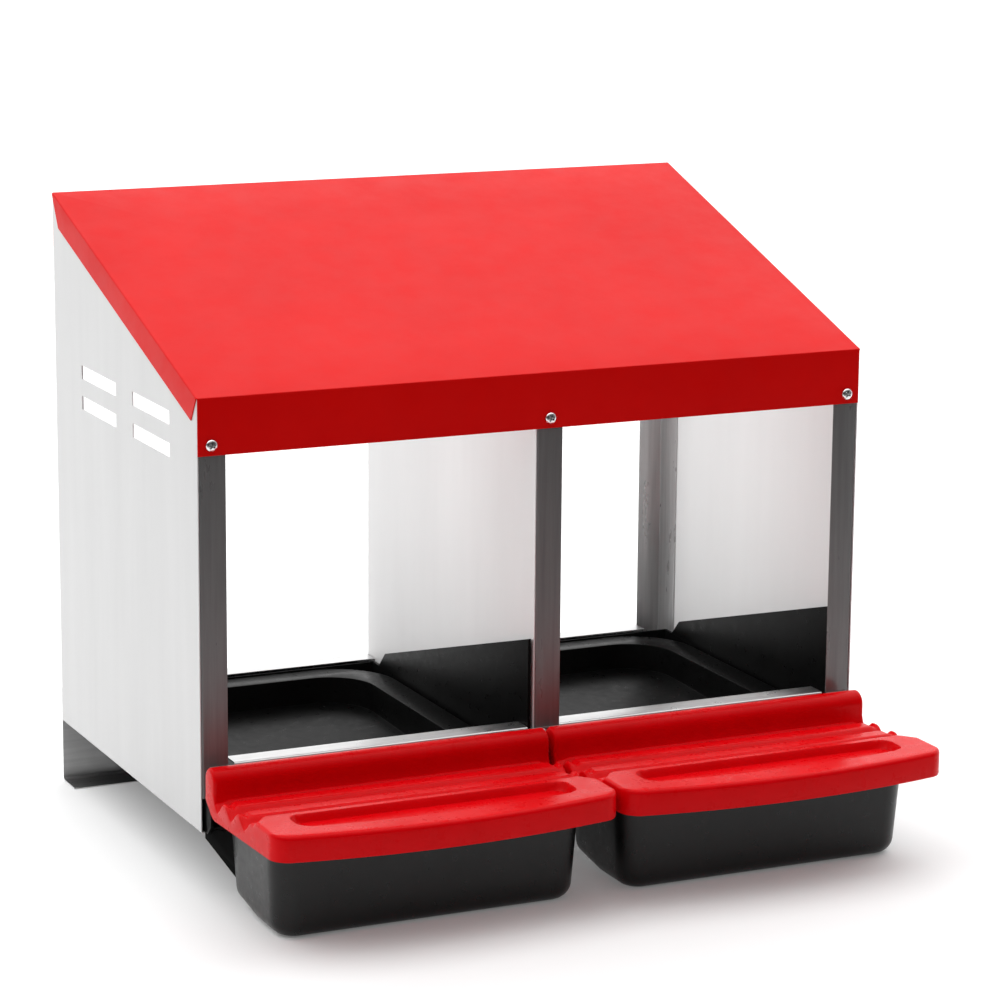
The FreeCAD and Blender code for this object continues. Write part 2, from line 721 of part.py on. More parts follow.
def hinge_rod(label, shift):
    """The straight steel rod that one lid turns on."""
    body = new_body(label, shift)
    rod = [("-hinge_back", "hinge_high", "rod_radius")]
    pad(body, "rod", "YZ", "rod_inset", "lid_width - 2 * rod_inset", circles=rod)


def hinge_bracket(label, base_x0, base_x1, arms, rivet_x):
    """A riveted plate with one arm for each rod end that it carries."""
    body = new_body(label)
    plate = rectangle(base_x0, base_x1, "bracket_low", "bracket_high")
    pad(body, "base", "XZ", "-bracket_plate", "bracket_plate", plate)
    arm = [
        ("-fit_gap", "arm_low"),
        ("-fit_gap", "arm_knee"),
        ("-hinge_back + rod_radius", "arm_knee"),
        ("-hinge_back + rod_radius", "hinge_high"),
        ("-hinge_back - rod_radius", "hinge_high"),
        ("-hinge_back - rod_radius", "arm_low"),
    ]
    for number, middle in enumerate(arms):
        start = f"{middle} - arm_thick / 2"
        pad(body, f"arm_{number}", "YZ", start, "arm_thick", arm)
        eye = [("-hinge_back", "hinge_high", "2 * rod_radius - fit_gap")]
        pad(body, f"eye_{number}", "YZ", start, "arm_thick", circles=eye)
        bore = [("-hinge_back", "hinge_high", "rod_radius + rod_play")]
        pocket(body, f"eye_bore_{number}", "YZ", start, "arm_thick", circles=bore)
    hole = [(rivet_x, "rivet_high", "rivet_radius")]
    pocket(body, "rivet_hole", "XZ", "-bracket_plate", "bracket_plate", circles=hole)


# -------------------------------------------------------------------------------------------- fasteners

def fastener_group(label, solids):
    """Identical fasteners as one group of separate solids."""
    item = document.addObject("Part::Feature", label)
    item.Label = label
    item.Shape = Part.makeCompound(solids)
    seat(item)
    pieces.append(item)


def turned(profile, x, y, z, facing):
    """Revolves a profile of (distance outwards, radius) about the y axis, outwards being facing."""
    points = [FreeCAD.Vector(x + radius, y + facing * out, z) for out, radius in profile]
    face = Part.Face(Part.makePolygon(points + points[:1]))
    return face.revolve(FreeCAD.Vector(x, y, z), FreeCAD.Vector(0, 1, 0), 360)


def screw(x, y, z, facing, grip):
    """A pan-head cross-recess screw whose head sits on the plane y."""
    shank = value("screw_radius")
    head = value("screw_head")
    rise = value("head_rise")
    profile = [(-grip, 0), (-grip, shank), (0, shank), (0, head), (rise * 0.45, head * 0.96)]
    profile += [(rise * 0.8, head * 0.72), (rise, head * 0.35), (rise, 0)]
    solid = turned(profile, x, y, z, facing)
    for long, tall in ((head * 1.1, head * 0.2), (head * 0.2, head * 1.1)):
        deep = rise * 0.6
        near = y + facing * rise - (deep if facing > 0 else 0)
        corner = FreeCAD.Vector(x - long / 2, near, z - tall / 2)
        solid = solid.cut(Part.makeBox(long, deep, tall, corner))
    return solid


def nut(x, y, z, facing):
    """A hexagon nut on the plane y."""
    thick = value("nut_thick")
    bore = value("screw_radius + rod_play")
    reach = value("nut_across") / math.sqrt(3)
    corners = []
    for turn in range(6):
        angle = math.radians(60 * turn + 30)
        corners.append(FreeCAD.Vector(x + reach * math.cos(angle), y, z + reach * math.sin(angle)))
    solid = Part.Face(Part.makePolygon(corners + corners[:1])).extrude(FreeCAD.Vector(0, facing * thick, 0))
    return solid.cut(Part.makeCylinder(bore, thick, FreeCAD.Vector(x, y, z), FreeCAD.Vector(0, facing, 0)))


def rivet(x, y, z, facing, grip):
    """A dome-head blind rivet whose head sits on the plane y."""
    shank = value("rivet_radius")
    head = value("rivet_head")
    rise = value("rivet_rise")
    profile = [(-grip - 1.5, 0), (-grip - 1.5, shank * 0.8), (-grip - 0.6, shank), (0, shank), (0, head)]
    profile += [(rise * 0.5, head * 0.85), (rise, head * 0.4), (rise, 0)]
    return turned(profile, x, y, z, facing)


def fasteners():
    """Every screw, nut and rivet, seated on the sheets that it clamps."""
    thin = value("sheet")
    depth = value("body_depth")
    long = 8.0
    front = [(value(x), value("front_screw_high")) for x in FRONT_SCREWS]
    rear = [(value(x), value("rear_screw_high")) for x in REAR_SCREWS]
    fastener_group("roof_front_screws", [screw(x, -thin, z, -1, long) for x, z in front])
    fastener_group("roof_front_nuts", [nut(x, thin, z, 1) for x, z in front])
    fastener_group("roof_rear_screws", [screw(x, depth + thin, z, 1, long) for x, z in rear])
    fastener_group("roof_rear_nuts", [nut(x, depth - thin, z, -1) for x, z in rear])
    plate = value("bracket_plate")
    high = value("rivet_high")
    rivets = [rivet(value(x), -plate, high, -1, plate + 2 * thin) for x in BRACKET_RIVETS.values()]
    fastener_group("bracket_rivets", rivets)
    low = value("rear_ledge / 2")
    rivets = [rivet(value(x), depth + thin, low, 1, 2 * thin) for x in REAR_SCREWS]
    fastener_group("rear_panel_rivets", rivets)


# --------------------------------------------------------------------------------------------- assembly

roof_panel()
side_panel("left_side_panel", "0", 1)
side_panel("right_side_panel", "width", -1)
centre_divider()
divider_runner("divider_runner_left", "divider_left - runner", "divider_left", "divider_left - sheet")
divider_runner("divider_runner_right", "divider_right", "divider_right + runner", "divider_right")
front_post("front_post_left", "sheet", "post_wide", "sheet", FRONT_SCREWS[0], BRACKET_RIVETS["left"])
front_post(
    "front_post_centre", "divider_left", "divider_left + post_wide", "divider_right",
    FRONT_SCREWS[1], BRACKET_RIVETS["centre"],
)
front_post(
    "front_post_right", "width - post_wide", "width - sheet", "width - 2 * sheet",
    FRONT_SCREWS[2], BRACKET_RIVETS["right"],
)
corner_post("rear_corner_post_left", "0", 1)
corner_post("rear_corner_post_right", "width", -1)
rear_foot_panel()
front_sill(
    "front_sill_left", "sill_inset", "divider_left - 5", "basin_left", "divider_left - sheet",
    [BRACKET_RIVETS["left"]],
)
front_sill(
    "front_sill_right", "divider_right + 14", "width - sill_inset + 3", "divider_right + 2 * sheet",
    "width - basin_left", [BRACKET_RIVETS["centre"], BRACKET_RIVETS["right"]],
)
for side, shift in (("left", "0"), ("right", "basin_pitch")):
    nest_basin(f"nest_basin_{side}", shift)
    nest_pan(f"nest_pan_{side}", shift)
    egg_tray(f"egg_tray_{side}", shift)
for side, shift in (("left", "0"), ("right", "lid_pitch")):
    lid(f"lid_{side}", shift)
    hinge_rod(f"hinge_rod_{side}", shift)
hinge_bracket("hinge_bracket_left", "8", "post_wide", ["arm_inset"], BRACKET_RIVETS["left"])
hinge_bracket(
    "hinge_bracket_centre", "lid_width - arm_inset - 4", "divider_left + post_wide",
    ["lid_width - arm_inset", "lid_pitch + arm_inset"], BRACKET_RIVETS["centre"],
)
hinge_bracket(
    "hinge_bracket_right", "width - post_wide + fit_gap", "width - 4",
    ["lid_pitch + lid_width - arm_inset"], BRACKET_RIVETS["right"],
)
fasteners()
document.recompute()

for item in document.Objects:
    if "Invalid" in item.State or "Error" in item.State:
        raise RuntimeError(f"{item.Label} failed: {item.State}")
os.makedirs("parts", exist_ok=True)
for piece in pieces:
    shape = piece.Shape
    if shape.isNull() or not shape.isValid():
        raise RuntimeError(f"{piece.Label} has no valid shape")
    shape.exportStep(f"parts/{piece.Label}.step")
    box = shape.BoundBox
    spans = ((box.XMin, box.XMax), (box.YMin, box.YMax), (box.ZMin, box.ZMax))
    print(piece.Label, len(shape.Solids), *(f"{low:.1f}..{high:.1f}" for low, high in spans))
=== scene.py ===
"""Looks of the two-compartment roll-out nesting box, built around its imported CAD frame.

Shapes are worked out in the housing's own millimetres: x from the left wall's outer face, y from the front
posts' faces towards the rear, z upwards from the walls' lower edge. Pieces are then moved into the frame.
"""
import math

import bmesh
import bpy
from mathutils import Matrix, Vector


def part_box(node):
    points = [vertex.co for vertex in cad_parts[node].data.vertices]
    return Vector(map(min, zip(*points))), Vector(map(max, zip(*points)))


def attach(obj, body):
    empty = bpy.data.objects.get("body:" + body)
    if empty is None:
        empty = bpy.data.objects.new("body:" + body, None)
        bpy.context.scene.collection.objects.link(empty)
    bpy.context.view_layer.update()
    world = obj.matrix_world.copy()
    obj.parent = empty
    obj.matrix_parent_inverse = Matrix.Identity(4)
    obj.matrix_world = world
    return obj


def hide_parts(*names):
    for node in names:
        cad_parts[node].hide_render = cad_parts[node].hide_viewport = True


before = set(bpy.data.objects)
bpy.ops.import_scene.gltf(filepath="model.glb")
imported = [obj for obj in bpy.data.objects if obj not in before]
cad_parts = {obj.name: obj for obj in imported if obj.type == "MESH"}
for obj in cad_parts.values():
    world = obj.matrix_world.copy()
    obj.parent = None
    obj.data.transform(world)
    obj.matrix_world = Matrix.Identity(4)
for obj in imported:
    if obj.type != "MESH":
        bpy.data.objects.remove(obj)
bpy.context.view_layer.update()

MM = 0.001
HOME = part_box("left_side_panel")[0]
TO_FRAME = Matrix.Translation(HOME) @ Matrix.Scale(MM, 4)
X, Y, Z = Vector((1, 0, 0)), Vector((0, 1, 0)), Vector((0, 0, 1))


def span(node):
    """Lowest and highest corner of a CAD node in housing millimetres."""
    return tuple((corner - HOME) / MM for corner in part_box(node))


# ------------------------------------------------------------------------------------------- dimensions

WIDTH = span("right_side_panel")[1].x
DEPTH = span("left_side_panel")[1].y
GROUND = span("rear_foot_panel")[0].z
SHEET = 1.0             # sheet metal's thickness
SHEET_EDGE = 0.18       # rounding of its cut edges
BEND, BEND_STEPS = 2.2, 5
WALL_FOOT = 18.0        # the side walls' foot, folded in
FRONT_RISE = 368.9      # height of the roof's upper face over the posts' front faces
REAR_RISE = 491.5       # and over the walls' rear edges
REAR_FASCIA = 50.0
ROOF_BEND = 1.2
FLANGE = 23.5           # the roof's side flanges, and how far their rims taper in front and behind
FLANGE_TAPER = (5.5, 25.0)
SLOPE = math.atan2(REAR_RISE - FRONT_RISE, DEPTH)
ROOF_SKIN = SHEET / math.cos(SLOPE)
ROOF_GAP = 0.15         # between the roof and the sheets below it
QUARTER = math.radians(90)


def roof_under(y):
    """Height of the roof's lower face at depth y."""
    return FRONT_RISE + y * math.tan(SLOPE) - ROOF_SKIN


def smooth(t):
    """Eases from 0 to 1 as t goes from 0 to 1."""
    t = min(1.0, max(0.0, t))
    return t * t * (3 - 2 * t)


def mix(a, b, t):
    """From a at t = 0 to b at t = 1."""
    return a + (b - a) * t


def steps(a, b, count):
    """The inner points of count equal steps from a to b."""
    return [mix(a, b, k / count) for k in range(1, count)]


def circle(count):
    """The angles of count equal steps round a circle."""
    return [math.tau * k / count for k in range(count)]


# ------------------------------------------------------------------------------------------- mesh tools

def linked(name, bm):
    """A new object in the scene from a bmesh in metres, which is used up."""
    mesh = bpy.data.meshes.new(name)
    bm.to_mesh(mesh)
    bm.free()
    item = bpy.data.objects.new(name, mesh)
    bpy.context.scene.collection.objects.link(item)
    return item


def mesh_object(name, bm):
    """A new object from a bmesh in housing millimetres."""
    bmesh.ops.recalc_face_normals(bm, faces=bm.faces)
    bmesh.ops.transform(bm, matrix=TO_FRAME, verts=bm.verts)
    return linked(name, bm)


def settle(item, sharp=32):
    """Turns an object's modifiers into its mesh and shades it smooth up to the given angle."""
    bpy.context.view_layer.update()
    graph = bpy.context.evaluated_depsgraph_get()
    final = bpy.data.meshes.new_from_object(item.evaluated_get(graph))
    item.modifiers.clear()
    item.data = final
    final.shade_smooth()
    final.set_sharp_from_angle(angle=math.radians(sharp))
    return item


def round_edges(item, width, segments=2, angle=40):
    """Rounds every edge sharper than angle. Width is in millimetres."""
    bevel = item.modifiers.new("edges", "BEVEL")
    bevel.width = width * MM
    bevel.segments = segments
    bevel.limit_method = "ANGLE"
    bevel.angle_limit = math.radians(angle)
    bevel.miter_outer = "MITER_ARC"


def block(low, high):
    """A closed box as a bmesh, in housing millimetres."""
    bm = bmesh.new()
    made = bmesh.ops.create_cube(bm, size=1.0)
    for vertex in made["verts"]:
        vertex.co = Vector(mix(low[i], high[i], vertex.co[i] + 0.5) for i in range(3))
    return bm


def join_loops(bm, loops):
    """Faces between each closed loop and the next. A loop may be a single point."""
    for a, b in zip(loops, loops[1:]):
        count = max(len(a), len(b))
        for k in range(count):
            after = (k + 1) % count
            corners = [a[k % len(a)], a[after % len(a)], b[after % len(b)], b[k % len(b)]]
            unique = list(dict.fromkeys(corners))
            if len(unique) > 2:
                bm.faces.new(unique)


def carve(item, cutters):
    """Takes the cutters away from an object."""
    for cutter in cutters:
        cut = item.modifiers.new("cut", "BOOLEAN")
        cut.operation = "DIFFERENCE"
        cut.solver = "EXACT"
        cut.object = cutter
        settle(item)
        bpy.data.objects.remove(cutter)


def coat(item, material):
    """Gives an object one material."""
    item.data.materials.clear()
    item.data.materials.append(material)


def present(item, material, body, node):
    """Gives a finished piece its material, its body and the CAD node that it stands for."""
    coat(item, material)
    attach(item, body)
    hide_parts(node)
    return item


def copy_of(node, name, width, segments=2):
    """A CAD node's own mesh in a new object, with its edges rounded."""
    bm = bmesh.new()
    bm.from_mesh(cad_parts[node].data)
    bmesh.ops.remove_doubles(bm, verts=bm.verts, dist=1e-6)
    bmesh.ops.dissolve_limit(bm, angle_limit=math.radians(1), verts=bm.verts, edges=bm.edges)
    item = linked(name, bm)
    round_edges(item, width, segments)
    return settle(item)


# ------------------------------------------------------------------------------------------- materials

def node_of(tree, kind, **inputs):
    """A new shader node. Its inputs are given by name, with _ for a space."""
    node = tree.nodes.new("ShaderNode" + kind)
    for key, value in inputs.items():
        node.inputs[key.replace("_", " ")].default_value = value
    return node


def map_range(tree, source, start, end, low, high, kind="SMOOTHSTEP"):
    """A clamped map of source's start..end to low..high."""
    ramp = node_of(tree, "MapRange", From_Min=start, From_Max=end, To_Min=low, To_Max=high)
    ramp.interpolation_type = kind
    tree.links.new(source, ramp.inputs["Value"])
    return ramp.outputs["Result"]


def grey(level):
    """A grey base colour."""
    return (level, level, level)


NOISE_LOW, NOISE_HIGH = 0.3, 0.7    # the part of a noise texture's range that its values fill


class Finish:
    """A procedural material on the object's own coordinates, in metres."""

    def __init__(self, name, slot, roughness, metallic=0.0, specular=0.5):
        self.material = bpy.data.materials.new(name)
        self.material.use_nodes = True
        self.material["slot"] = slot
        self.tree = self.material.node_tree
        self.shader = self.tree.nodes["Principled BSDF"]
        self.shader.inputs["Metallic"].default_value = metallic
        self.shader.inputs["Roughness"].default_value = roughness
        self.shader.inputs["Specular IOR Level"].default_value = specular
        self.place = node_of(self.tree, "TexCoord").outputs["Object"]
        self.height = None

    def noise(self, scale, detail, roughness, stretch=None):
        """A noise of scale cells to the metre. A low number in stretch draws it out along that axis."""
        noise = node_of(self.tree, "TexNoise", Scale=scale, Detail=detail, Roughness=roughness)
        source = self.place
        if stretch:
            mapping = node_of(self.tree, "Mapping", Scale=stretch)
            self.tree.links.new(source, mapping.inputs["Vector"])
            source = mapping.outputs["Vector"]
        self.tree.links.new(source, noise.inputs["Vector"])
        return noise.outputs["Fac"]

    def colour(self, source, first, second):
        """Mixes two base colours by a noise."""
        ramp = node_of(self.tree, "ValToRGB")
        stops = ramp.color_ramp.elements
        for stop, position, shade in ((stops[0], NOISE_LOW, first), (stops[1], NOISE_HIGH, second)):
            stop.position = position
            stop.color = (*shade, 1)
        self.tree.links.new(source, ramp.inputs["Fac"])
        self.tree.links.new(ramp.outputs["Color"], self.shader.inputs["Base Color"])

    def roughen(self, source, low, high):
        """Varies the roughness from low to high by a noise."""
        rough = map_range(self.tree, source, NOISE_LOW, NOISE_HIGH, low, high, "LINEAR")
        self.tree.links.new(rough, self.shader.inputs["Roughness"])

    def bump(self, source, depth, strength=1.0):
        """Adds a relief of the given depth in millimetres."""
        bump = node_of(self.tree, "Bump", Strength=strength, Distance=depth * MM)
        self.tree.links.new(source, bump.inputs["Height"])
        if self.height:
            self.tree.links.new(self.height, bump.inputs["Normal"])
        self.height = bump.outputs["Normal"]
        self.tree.links.new(self.height, self.shader.inputs["Normal"])


def powder_coat():
    """Satin red powder coat: faint orange peel, a little cloudiness."""
    finish = Finish("red_powder_coat", "red_powder_coat", roughness=0.42, specular=0.08)
    finish.colour(finish.noise(9, 5, 0.6), (0.66, 0.0012, 0.0012), (0.71, 0.0025, 0.002))
    finish.roughen(finish.noise(40, 4, 0.6), 0.36, 0.48)
    finish.bump(finish.noise(420, 2, 0.5), 0.008)
    finish.bump(finish.noise(9, 2, 0.5), 0.1, 0.5)
    return finish.material


def back_coat():
    """Thin pale grey primer on the inside of the roof sheet."""
    finish = Finish("roof_back_coat", "red_powder_coat", roughness=0.55, specular=0.2)
    finish.colour(finish.noise(12, 4, 0.6), grey(0.50), grey(0.56))
    finish.roughen(finish.noise(60, 4, 0.6), 0.48, 0.62)
    finish.bump(finish.noise(300, 2, 0.5), 0.01)
    return finish.material


def pale_sheet():
    """Smooth pale coated sheet with a faint drawn grain up and down."""
    finish = Finish("white_sheet", "white_sheet", roughness=0.38, specular=0.35)
    finish.colour(finish.noise(6, 4, 0.5, (3, 3, 0.4)), grey(0.62), grey(0.66))
    finish.roughen(finish.noise(60, 3, 0.6, (1, 1, 0.1)), 0.28, 0.40)
    finish.bump(finish.noise(300, 2, 0.5, (1, 1, 0.06)), 0.003)
    finish.bump(finish.noise(7, 2, 0.4), 0.25, 0.5)
    return finish.material


def zinc_sheet(name, metallic, grain, dark, light):
    """Galvanised sheet with a fine rolled grain. grain is its stretch."""
    finish = Finish(name, "galvanised_steel", roughness=0.34, metallic=metallic)
    finish.colour(finish.noise(260, 3, 0.6, grain), grey(dark), grey(light))
    finish.roughen(finish.noise(70, 4, 0.65, (1, 1, 0.25)), 0.26, 0.36)
    finish.bump(finish.noise(300, 2, 0.5, grain), 0.002)
    finish.bump(finish.noise(12, 2, 0.4), 0.12, 0.5)
    return finish.material


def black_moulding(name, specular, dark, light):
    """Matt black moulded plastic with a fine spark-eroded texture."""
    finish = Finish(name, "black_plastic", roughness=0.32, specular=specular)
    finish.colour(finish.noise(25, 4, 0.6), grey(dark), grey(light))
    finish.roughen(finish.noise(120, 3, 0.6), 0.26, 0.38)
    finish.bump(finish.noise(380, 2, 0.5), 0.004)
    finish.bump(finish.noise(14, 2, 0.4), 0.3, 0.4)
    return finish.material


def red_moulding():
    """Semi-gloss red moulded plastic, its skin slightly uneven."""
    finish = Finish("red_plastic", "red_plastic", roughness=0.3, specular=0.07)
    finish.colour(finish.noise(22, 4, 0.6), (0.60, 0.0004, 0.002), (0.66, 0.001, 0.004))
    finish.roughen(finish.noise(90, 3, 0.6), 0.24, 0.36)
    finish.bump(finish.noise(320, 2, 0.5), 0.003)
    finish.bump(finish.noise(30, 2, 0.4), 0.15, 0.3)
    return finish.material


def bright_zinc():
    """Bright zinc plating with fine handling marks."""
    finish = Finish("bright_steel", "bright_steel", roughness=0.22, metallic=1.0)
    finish.colour(finish.noise(300, 3, 0.6), (0.72, 0.72, 0.73), grey(0.84))
    finish.roughen(finish.noise(500, 3, 0.6), 0.14, 0.30)
    finish.bump(finish.noise(2500, 2, 0.6), 0.004)
    return finish.material


ALONG_X, UPRIGHT = (0.04, 1, 1), (1, 1, 0.04)    # stretches of a rolled grain
RED_COAT = powder_coat()
BACK_COAT = back_coat()
PALE = pale_sheet()
ZINC = zinc_sheet("galvanised_steel", 1.0, ALONG_X, 0.56, 0.66)
# The front posts are the same galvanised sheet as the rest, given a darker, duller copy of it as painted
# shade.
SHADED_POST_ZINC = zinc_sheet("galvanised_posts_painted_shade", 0.3, UPRIGHT, 0.13, 0.165)
# The rear corner posts are the same galvanised sheet, given a lighter copy of it as painted light.
LIT_CORNER_ZINC = zinc_sheet("galvanised_corner_posts_painted_light", 0.7, UPRIGHT, 0.46, 0.56)
BLACK = black_moulding("black_plastic", 0.3, 0.0045, 0.0075)
# The basins and pans are the same black plastic as the trays, given a darker, less glossy copy of it as
# painted shade.
SHADED_NEST_BLACK = black_moulding("black_nest_plastic_painted_shade", 0.06, 0.002, 0.0035)
RED = red_moulding()
BRIGHT = bright_zinc()


# ----------------------------------------------------------------------------------------- sheet metal

class Sheet:
    """Folded sheet metal: flat cells and round bends on the outer face, given thickness at the end."""

    def __init__(self, normal, bend=BEND):
        self.bm = bmesh.new()
        self.normal = normal.normalized()
        self.bend = bend
        self.first = None

    def cells(self, rows, holes=()):
        """A grid of flat cells. holes lists the (row, column) of cells that stay open."""
        grid = [[self.bm.verts.new(point) for point in row] for row in rows]
        for i in range(len(rows) - 1):
            for j in range(len(rows[i]) - 1):
                if (i, j) not in holes:
                    near, far = grid[i][j:j + 2], grid[i + 1][j:j + 2]
                    face = self.bm.faces.new((*near, *reversed(far)))
                    self.first = self.first or face
        return grid

    def fold(self, edge, out, normal, turn, length, taper=(0.0, 0.0)):
        """Carries an edge on round a bend and straight for a length. The taper moves the two ends of the
        straight part's rim inwards along the edge."""
        starts = [vertex.co.copy() for vertex in edge]
        along = (starts[-1] - starts[0]).normalized()
        previous = edge
        for step in range(1, BEND_STEPS + 2):
            angle = turn * min(step, BEND_STEPS) / BEND_STEPS
            reach = out * self.bend * math.sin(angle) - normal * self.bend * (1 - math.cos(angle))
            if step > BEND_STEPS:
                reach += (out * math.cos(turn) - normal * math.sin(turn)) * length
            row = [self.bm.verts.new(start + reach) for start in starts]
            if step > BEND_STEPS:
                row[0].co += along * taper[0]
                row[-1].co -= along * taper[1]
            for k in range(len(row) - 1):
                self.bm.faces.new((previous[k], previous[k + 1], row[k + 1], row[k]))
            previous = row
        return previous

    def meet_roof(self, above):
        """Moves every vertex higher than above to the roof's lower face."""
        for vertex in self.bm.verts:
            if vertex.co.z > above:
                vertex.co.z = roof_under(vertex.co.y) - ROOF_GAP

    def piece(self, name):
        """The finished sheet as an object. Its outer face is the one that looks along normal."""
        self.bm.normal_update()
        bmesh.ops.recalc_face_normals(self.bm, faces=self.bm.faces)
        self.first.normal_update()
        if self.first.normal.dot(self.normal) < 0:
            bmesh.ops.reverse_faces(self.bm, faces=self.bm.faces)
        bmesh.ops.transform(self.bm, matrix=TO_FRAME, verts=self.bm.verts)
        item = linked(name, self.bm)
        solid = item.modifiers.new("sheet", "SOLIDIFY")
        solid.thickness = SHEET * MM
        solid.offset = -1
        solid.use_even_offset = True
        round_edges(item, SHEET_EDGE, 1, 60)
        return settle(item)


def roof():
    """The folded roof: sloping top, front and rear fascias, two side flanges with tapered ends."""
    low, high = span("roof_panel")
    rise = Vector((0, math.cos(SLOPE), math.sin(SLOPE)))
    normal = Vector((0, -math.sin(SLOPE), math.cos(SLOPE)))
    turn_front = QUARTER - SLOPE
    turn_rear = QUARTER + SLOPE
    front = Vector((0, low.y, FRONT_RISE + low.y * math.tan(SLOPE)))
    long = (high.y - low.y) / math.cos(SLOPE)
    inset_front = ROOF_BEND * math.tan(turn_front / 2)
    inset_rear = ROOF_BEND * math.tan(turn_rear / 2)
    across = [low.x + ROOF_BEND, *steps(low.x, high.x, 8), high.x - ROOF_BEND]
    along = [inset_front, *steps(0, long, 6), long - inset_rear]
    sheet = Sheet(normal, ROOF_BEND)
    grid = sheet.cells([[front + rise * s + X * x for x in across] for s in along])
    sheet.fold(grid[0], -rise, normal, turn_front, front.z - low.z - inset_front)
    sheet.fold(grid[-1], rise, normal, turn_rear, REAR_FASCIA - inset_rear)
    for end, out in ((0, -X), (-1, X)):
        sheet.fold([row[end] for row in grid], out, normal, QUARTER, FLANGE - ROOF_BEND, FLANGE_TAPER)
    skin = present(sheet.piece("roof_skin"), RED_COAT, "housing", "roof_panel")
    skin.data.materials.append(BACK_COAT)
    faces_down, wide_face = -0.7, 1e-4
    for face in skin.data.polygons:
        if face.normal.z < faces_down and face.area > wide_face:
            face.material_index = 1


def side_wall(name, node, outer, inward):
    """A side wall with four vent slots and its foot folded in. inward is +1 or -1 along x."""
    slots_y = (67.0, 160.0, 204.0, 297.0)
    slots_z = (307.0, 319.0, 334.6, 346.6)
    depths = [0.0, 33.0, *slots_y, 335.0, DEPTH]
    heights = [BEND, 90.0, 200.0, *slots_z, roof_under(0)]
    rows = [[Vector((outer, y, z)) for y in depths] for z in heights]
    holes = {(i, j) for i in (3, 5) for j in (2, 4)}
    sheet = Sheet(X * -inward)
    grid = sheet.cells(rows, holes)
    sheet.fold(grid[0], -Z, X * -inward, QUARTER, WALL_FOOT - BEND, (3.0, 3.0))
    sheet.meet_roof(slots_z[-1] + 1)
    present(sheet.piece(name), PALE, "housing", node)


def divider():
    """The plain sheet between the compartments."""
    low, high = span("centre_divider")
    rows = [[Vector((low.x, mix(low.y, high.y, k / 6), z)) for k in range(7)] for z in (low.z, 120, 240, 360)]
    sheet = Sheet(-X)
    sheet.cells(rows)
    sheet.meet_roof(350)
    present(sheet.piece("divider_sheet"), PALE, "housing", "centre_divider")


def angle_bar(name, node, corner, face, leg, face_long, leg_long, low, high, material):
    """An upright angle bar: its outer corner line, and the directions and lengths of its two sides."""
    normal = -leg
    start = corner + face * BEND
    heights = [mix(low, high, k / 5) for k in range(6)]
    rows = [[start + Z * z, corner + face * face_long + Z * z] for z in heights]
    sheet = Sheet(normal)
    grid = sheet.cells(rows)
    sheet.fold([row[0] for row in grid], -face, normal, QUARTER, leg_long - BEND)
    sheet.meet_roof(high - 1)
    present(sheet.piece(name), material, "housing", node)


def posts():
    """Three front posts and two rear corner posts."""
    top = roof_under(0)
    for side, corner, face in (
        ("left", span("front_post_left")[0].x, X),
        ("centre", span("centre_divider")[1].x, X),
        ("right", span("front_post_right")[1].x, -X),
    ):
        low, high = span(f"front_post_{side}")
        wide = high.x - corner if face.x > 0 else corner - low.x
        # The front posts take the darker copy of the galvanised sheet, as painted shade.
        angle_bar(f"post_{side}", f"front_post_{side}", X * corner + Y * low.y, face, Y,
                  wide, high.y - low.y, low.z, top, SHADED_POST_ZINC)
    for side, corner, face in (
        ("left", span("rear_corner_post_left")[0].x, X),
        ("right", span("rear_corner_post_right")[1].x, -X),
    ):
        low, high = span(f"rear_corner_post_{side}")
        # The rear corner posts take the lighter copy of the galvanised sheet, as painted light.
        angle_bar(f"corner_post_{side}", f"rear_corner_post_{side}", X * corner + Y * high.y, face, -Y,
                  high.x - low.x, high.y - low.y, low.z, roof_under(low.y), LIT_CORNER_ZINC)


def strip(name, node, path, bends, x0, x1, normal, bend=BEND):
    """A long folded strip. path is the flat width between the bends, as start point, direction and
    length; bends are the (turn, length) of each further side."""
    point, out, length = path
    sheet = Sheet(normal, bend)
    places = [x0, *steps(x0, x1, 10), x1]
    grid = sheet.cells([[start + X * x for x in places] for start in (point, point + out * length)])
    edge = grid[1]
    for turn, reach in bends:
        edge = sheet.fold(edge, out, normal, turn, reach)
        out, normal = (
            out * math.cos(turn) - normal * math.sin(turn),
            normal * math.cos(turn) + out * math.sin(turn),
        )
    present(sheet.piece(name), ZINC, "housing", node)


SILL_TREADS = {"left": (30.5, 300.5), "right": (320.5, 592.5)}
REAR_LEDGES = {"left": (26.5, 304.5), "right": (307.5, 593.5)}
LEDGE_DEEP, LEDGE_LIP, LEDGE_BEND = 20.0, 6.0, 1.5
FOOT_BEND = 4.0


def sills():
    """The two front sills: a level tread with a short leg turned down behind the posts."""
    for side in ("left", "right"):
        node = f"front_sill_{side}"
        low, high = span(node)
        x0, x1 = SILL_TREADS[side]
        start = Vector((0, high.y, high.z))
        strip(f"sill_{side}", node, (start, -Y, high.y - low.y - BEND), [(QUARTER, high.z - low.z - BEND)],
              x0, x1, Z)


def rear_foot():
    """The lower rear sheet: apron, rounded foot turned forwards, and a ledge under each rear opening."""
    low, high = span("rear_foot_panel")
    top = high.z - SHEET
    strip("rear_foot", "rear_foot_panel", (Vector((0, high.y, top)), -Z, top - GROUND - FOOT_BEND),
          [(QUARTER, high.y - low.y - FOOT_BEND)], low.x, high.x, Y, FOOT_BEND)
    start = Vector((0, DEPTH - LEDGE_DEEP, high.z))
    for side, (x0, x1) in REAR_LEDGES.items():
        strip(f"rear_ledge_{side}", "rear_foot_panel", (start, Y, LEDGE_DEEP + SHEET - LEDGE_BEND),
              [(QUARTER, LEDGE_LIP)], x0, x1, Z, LEDGE_BEND)


# ---------------------------------------------------------------------------------------- plastic trays

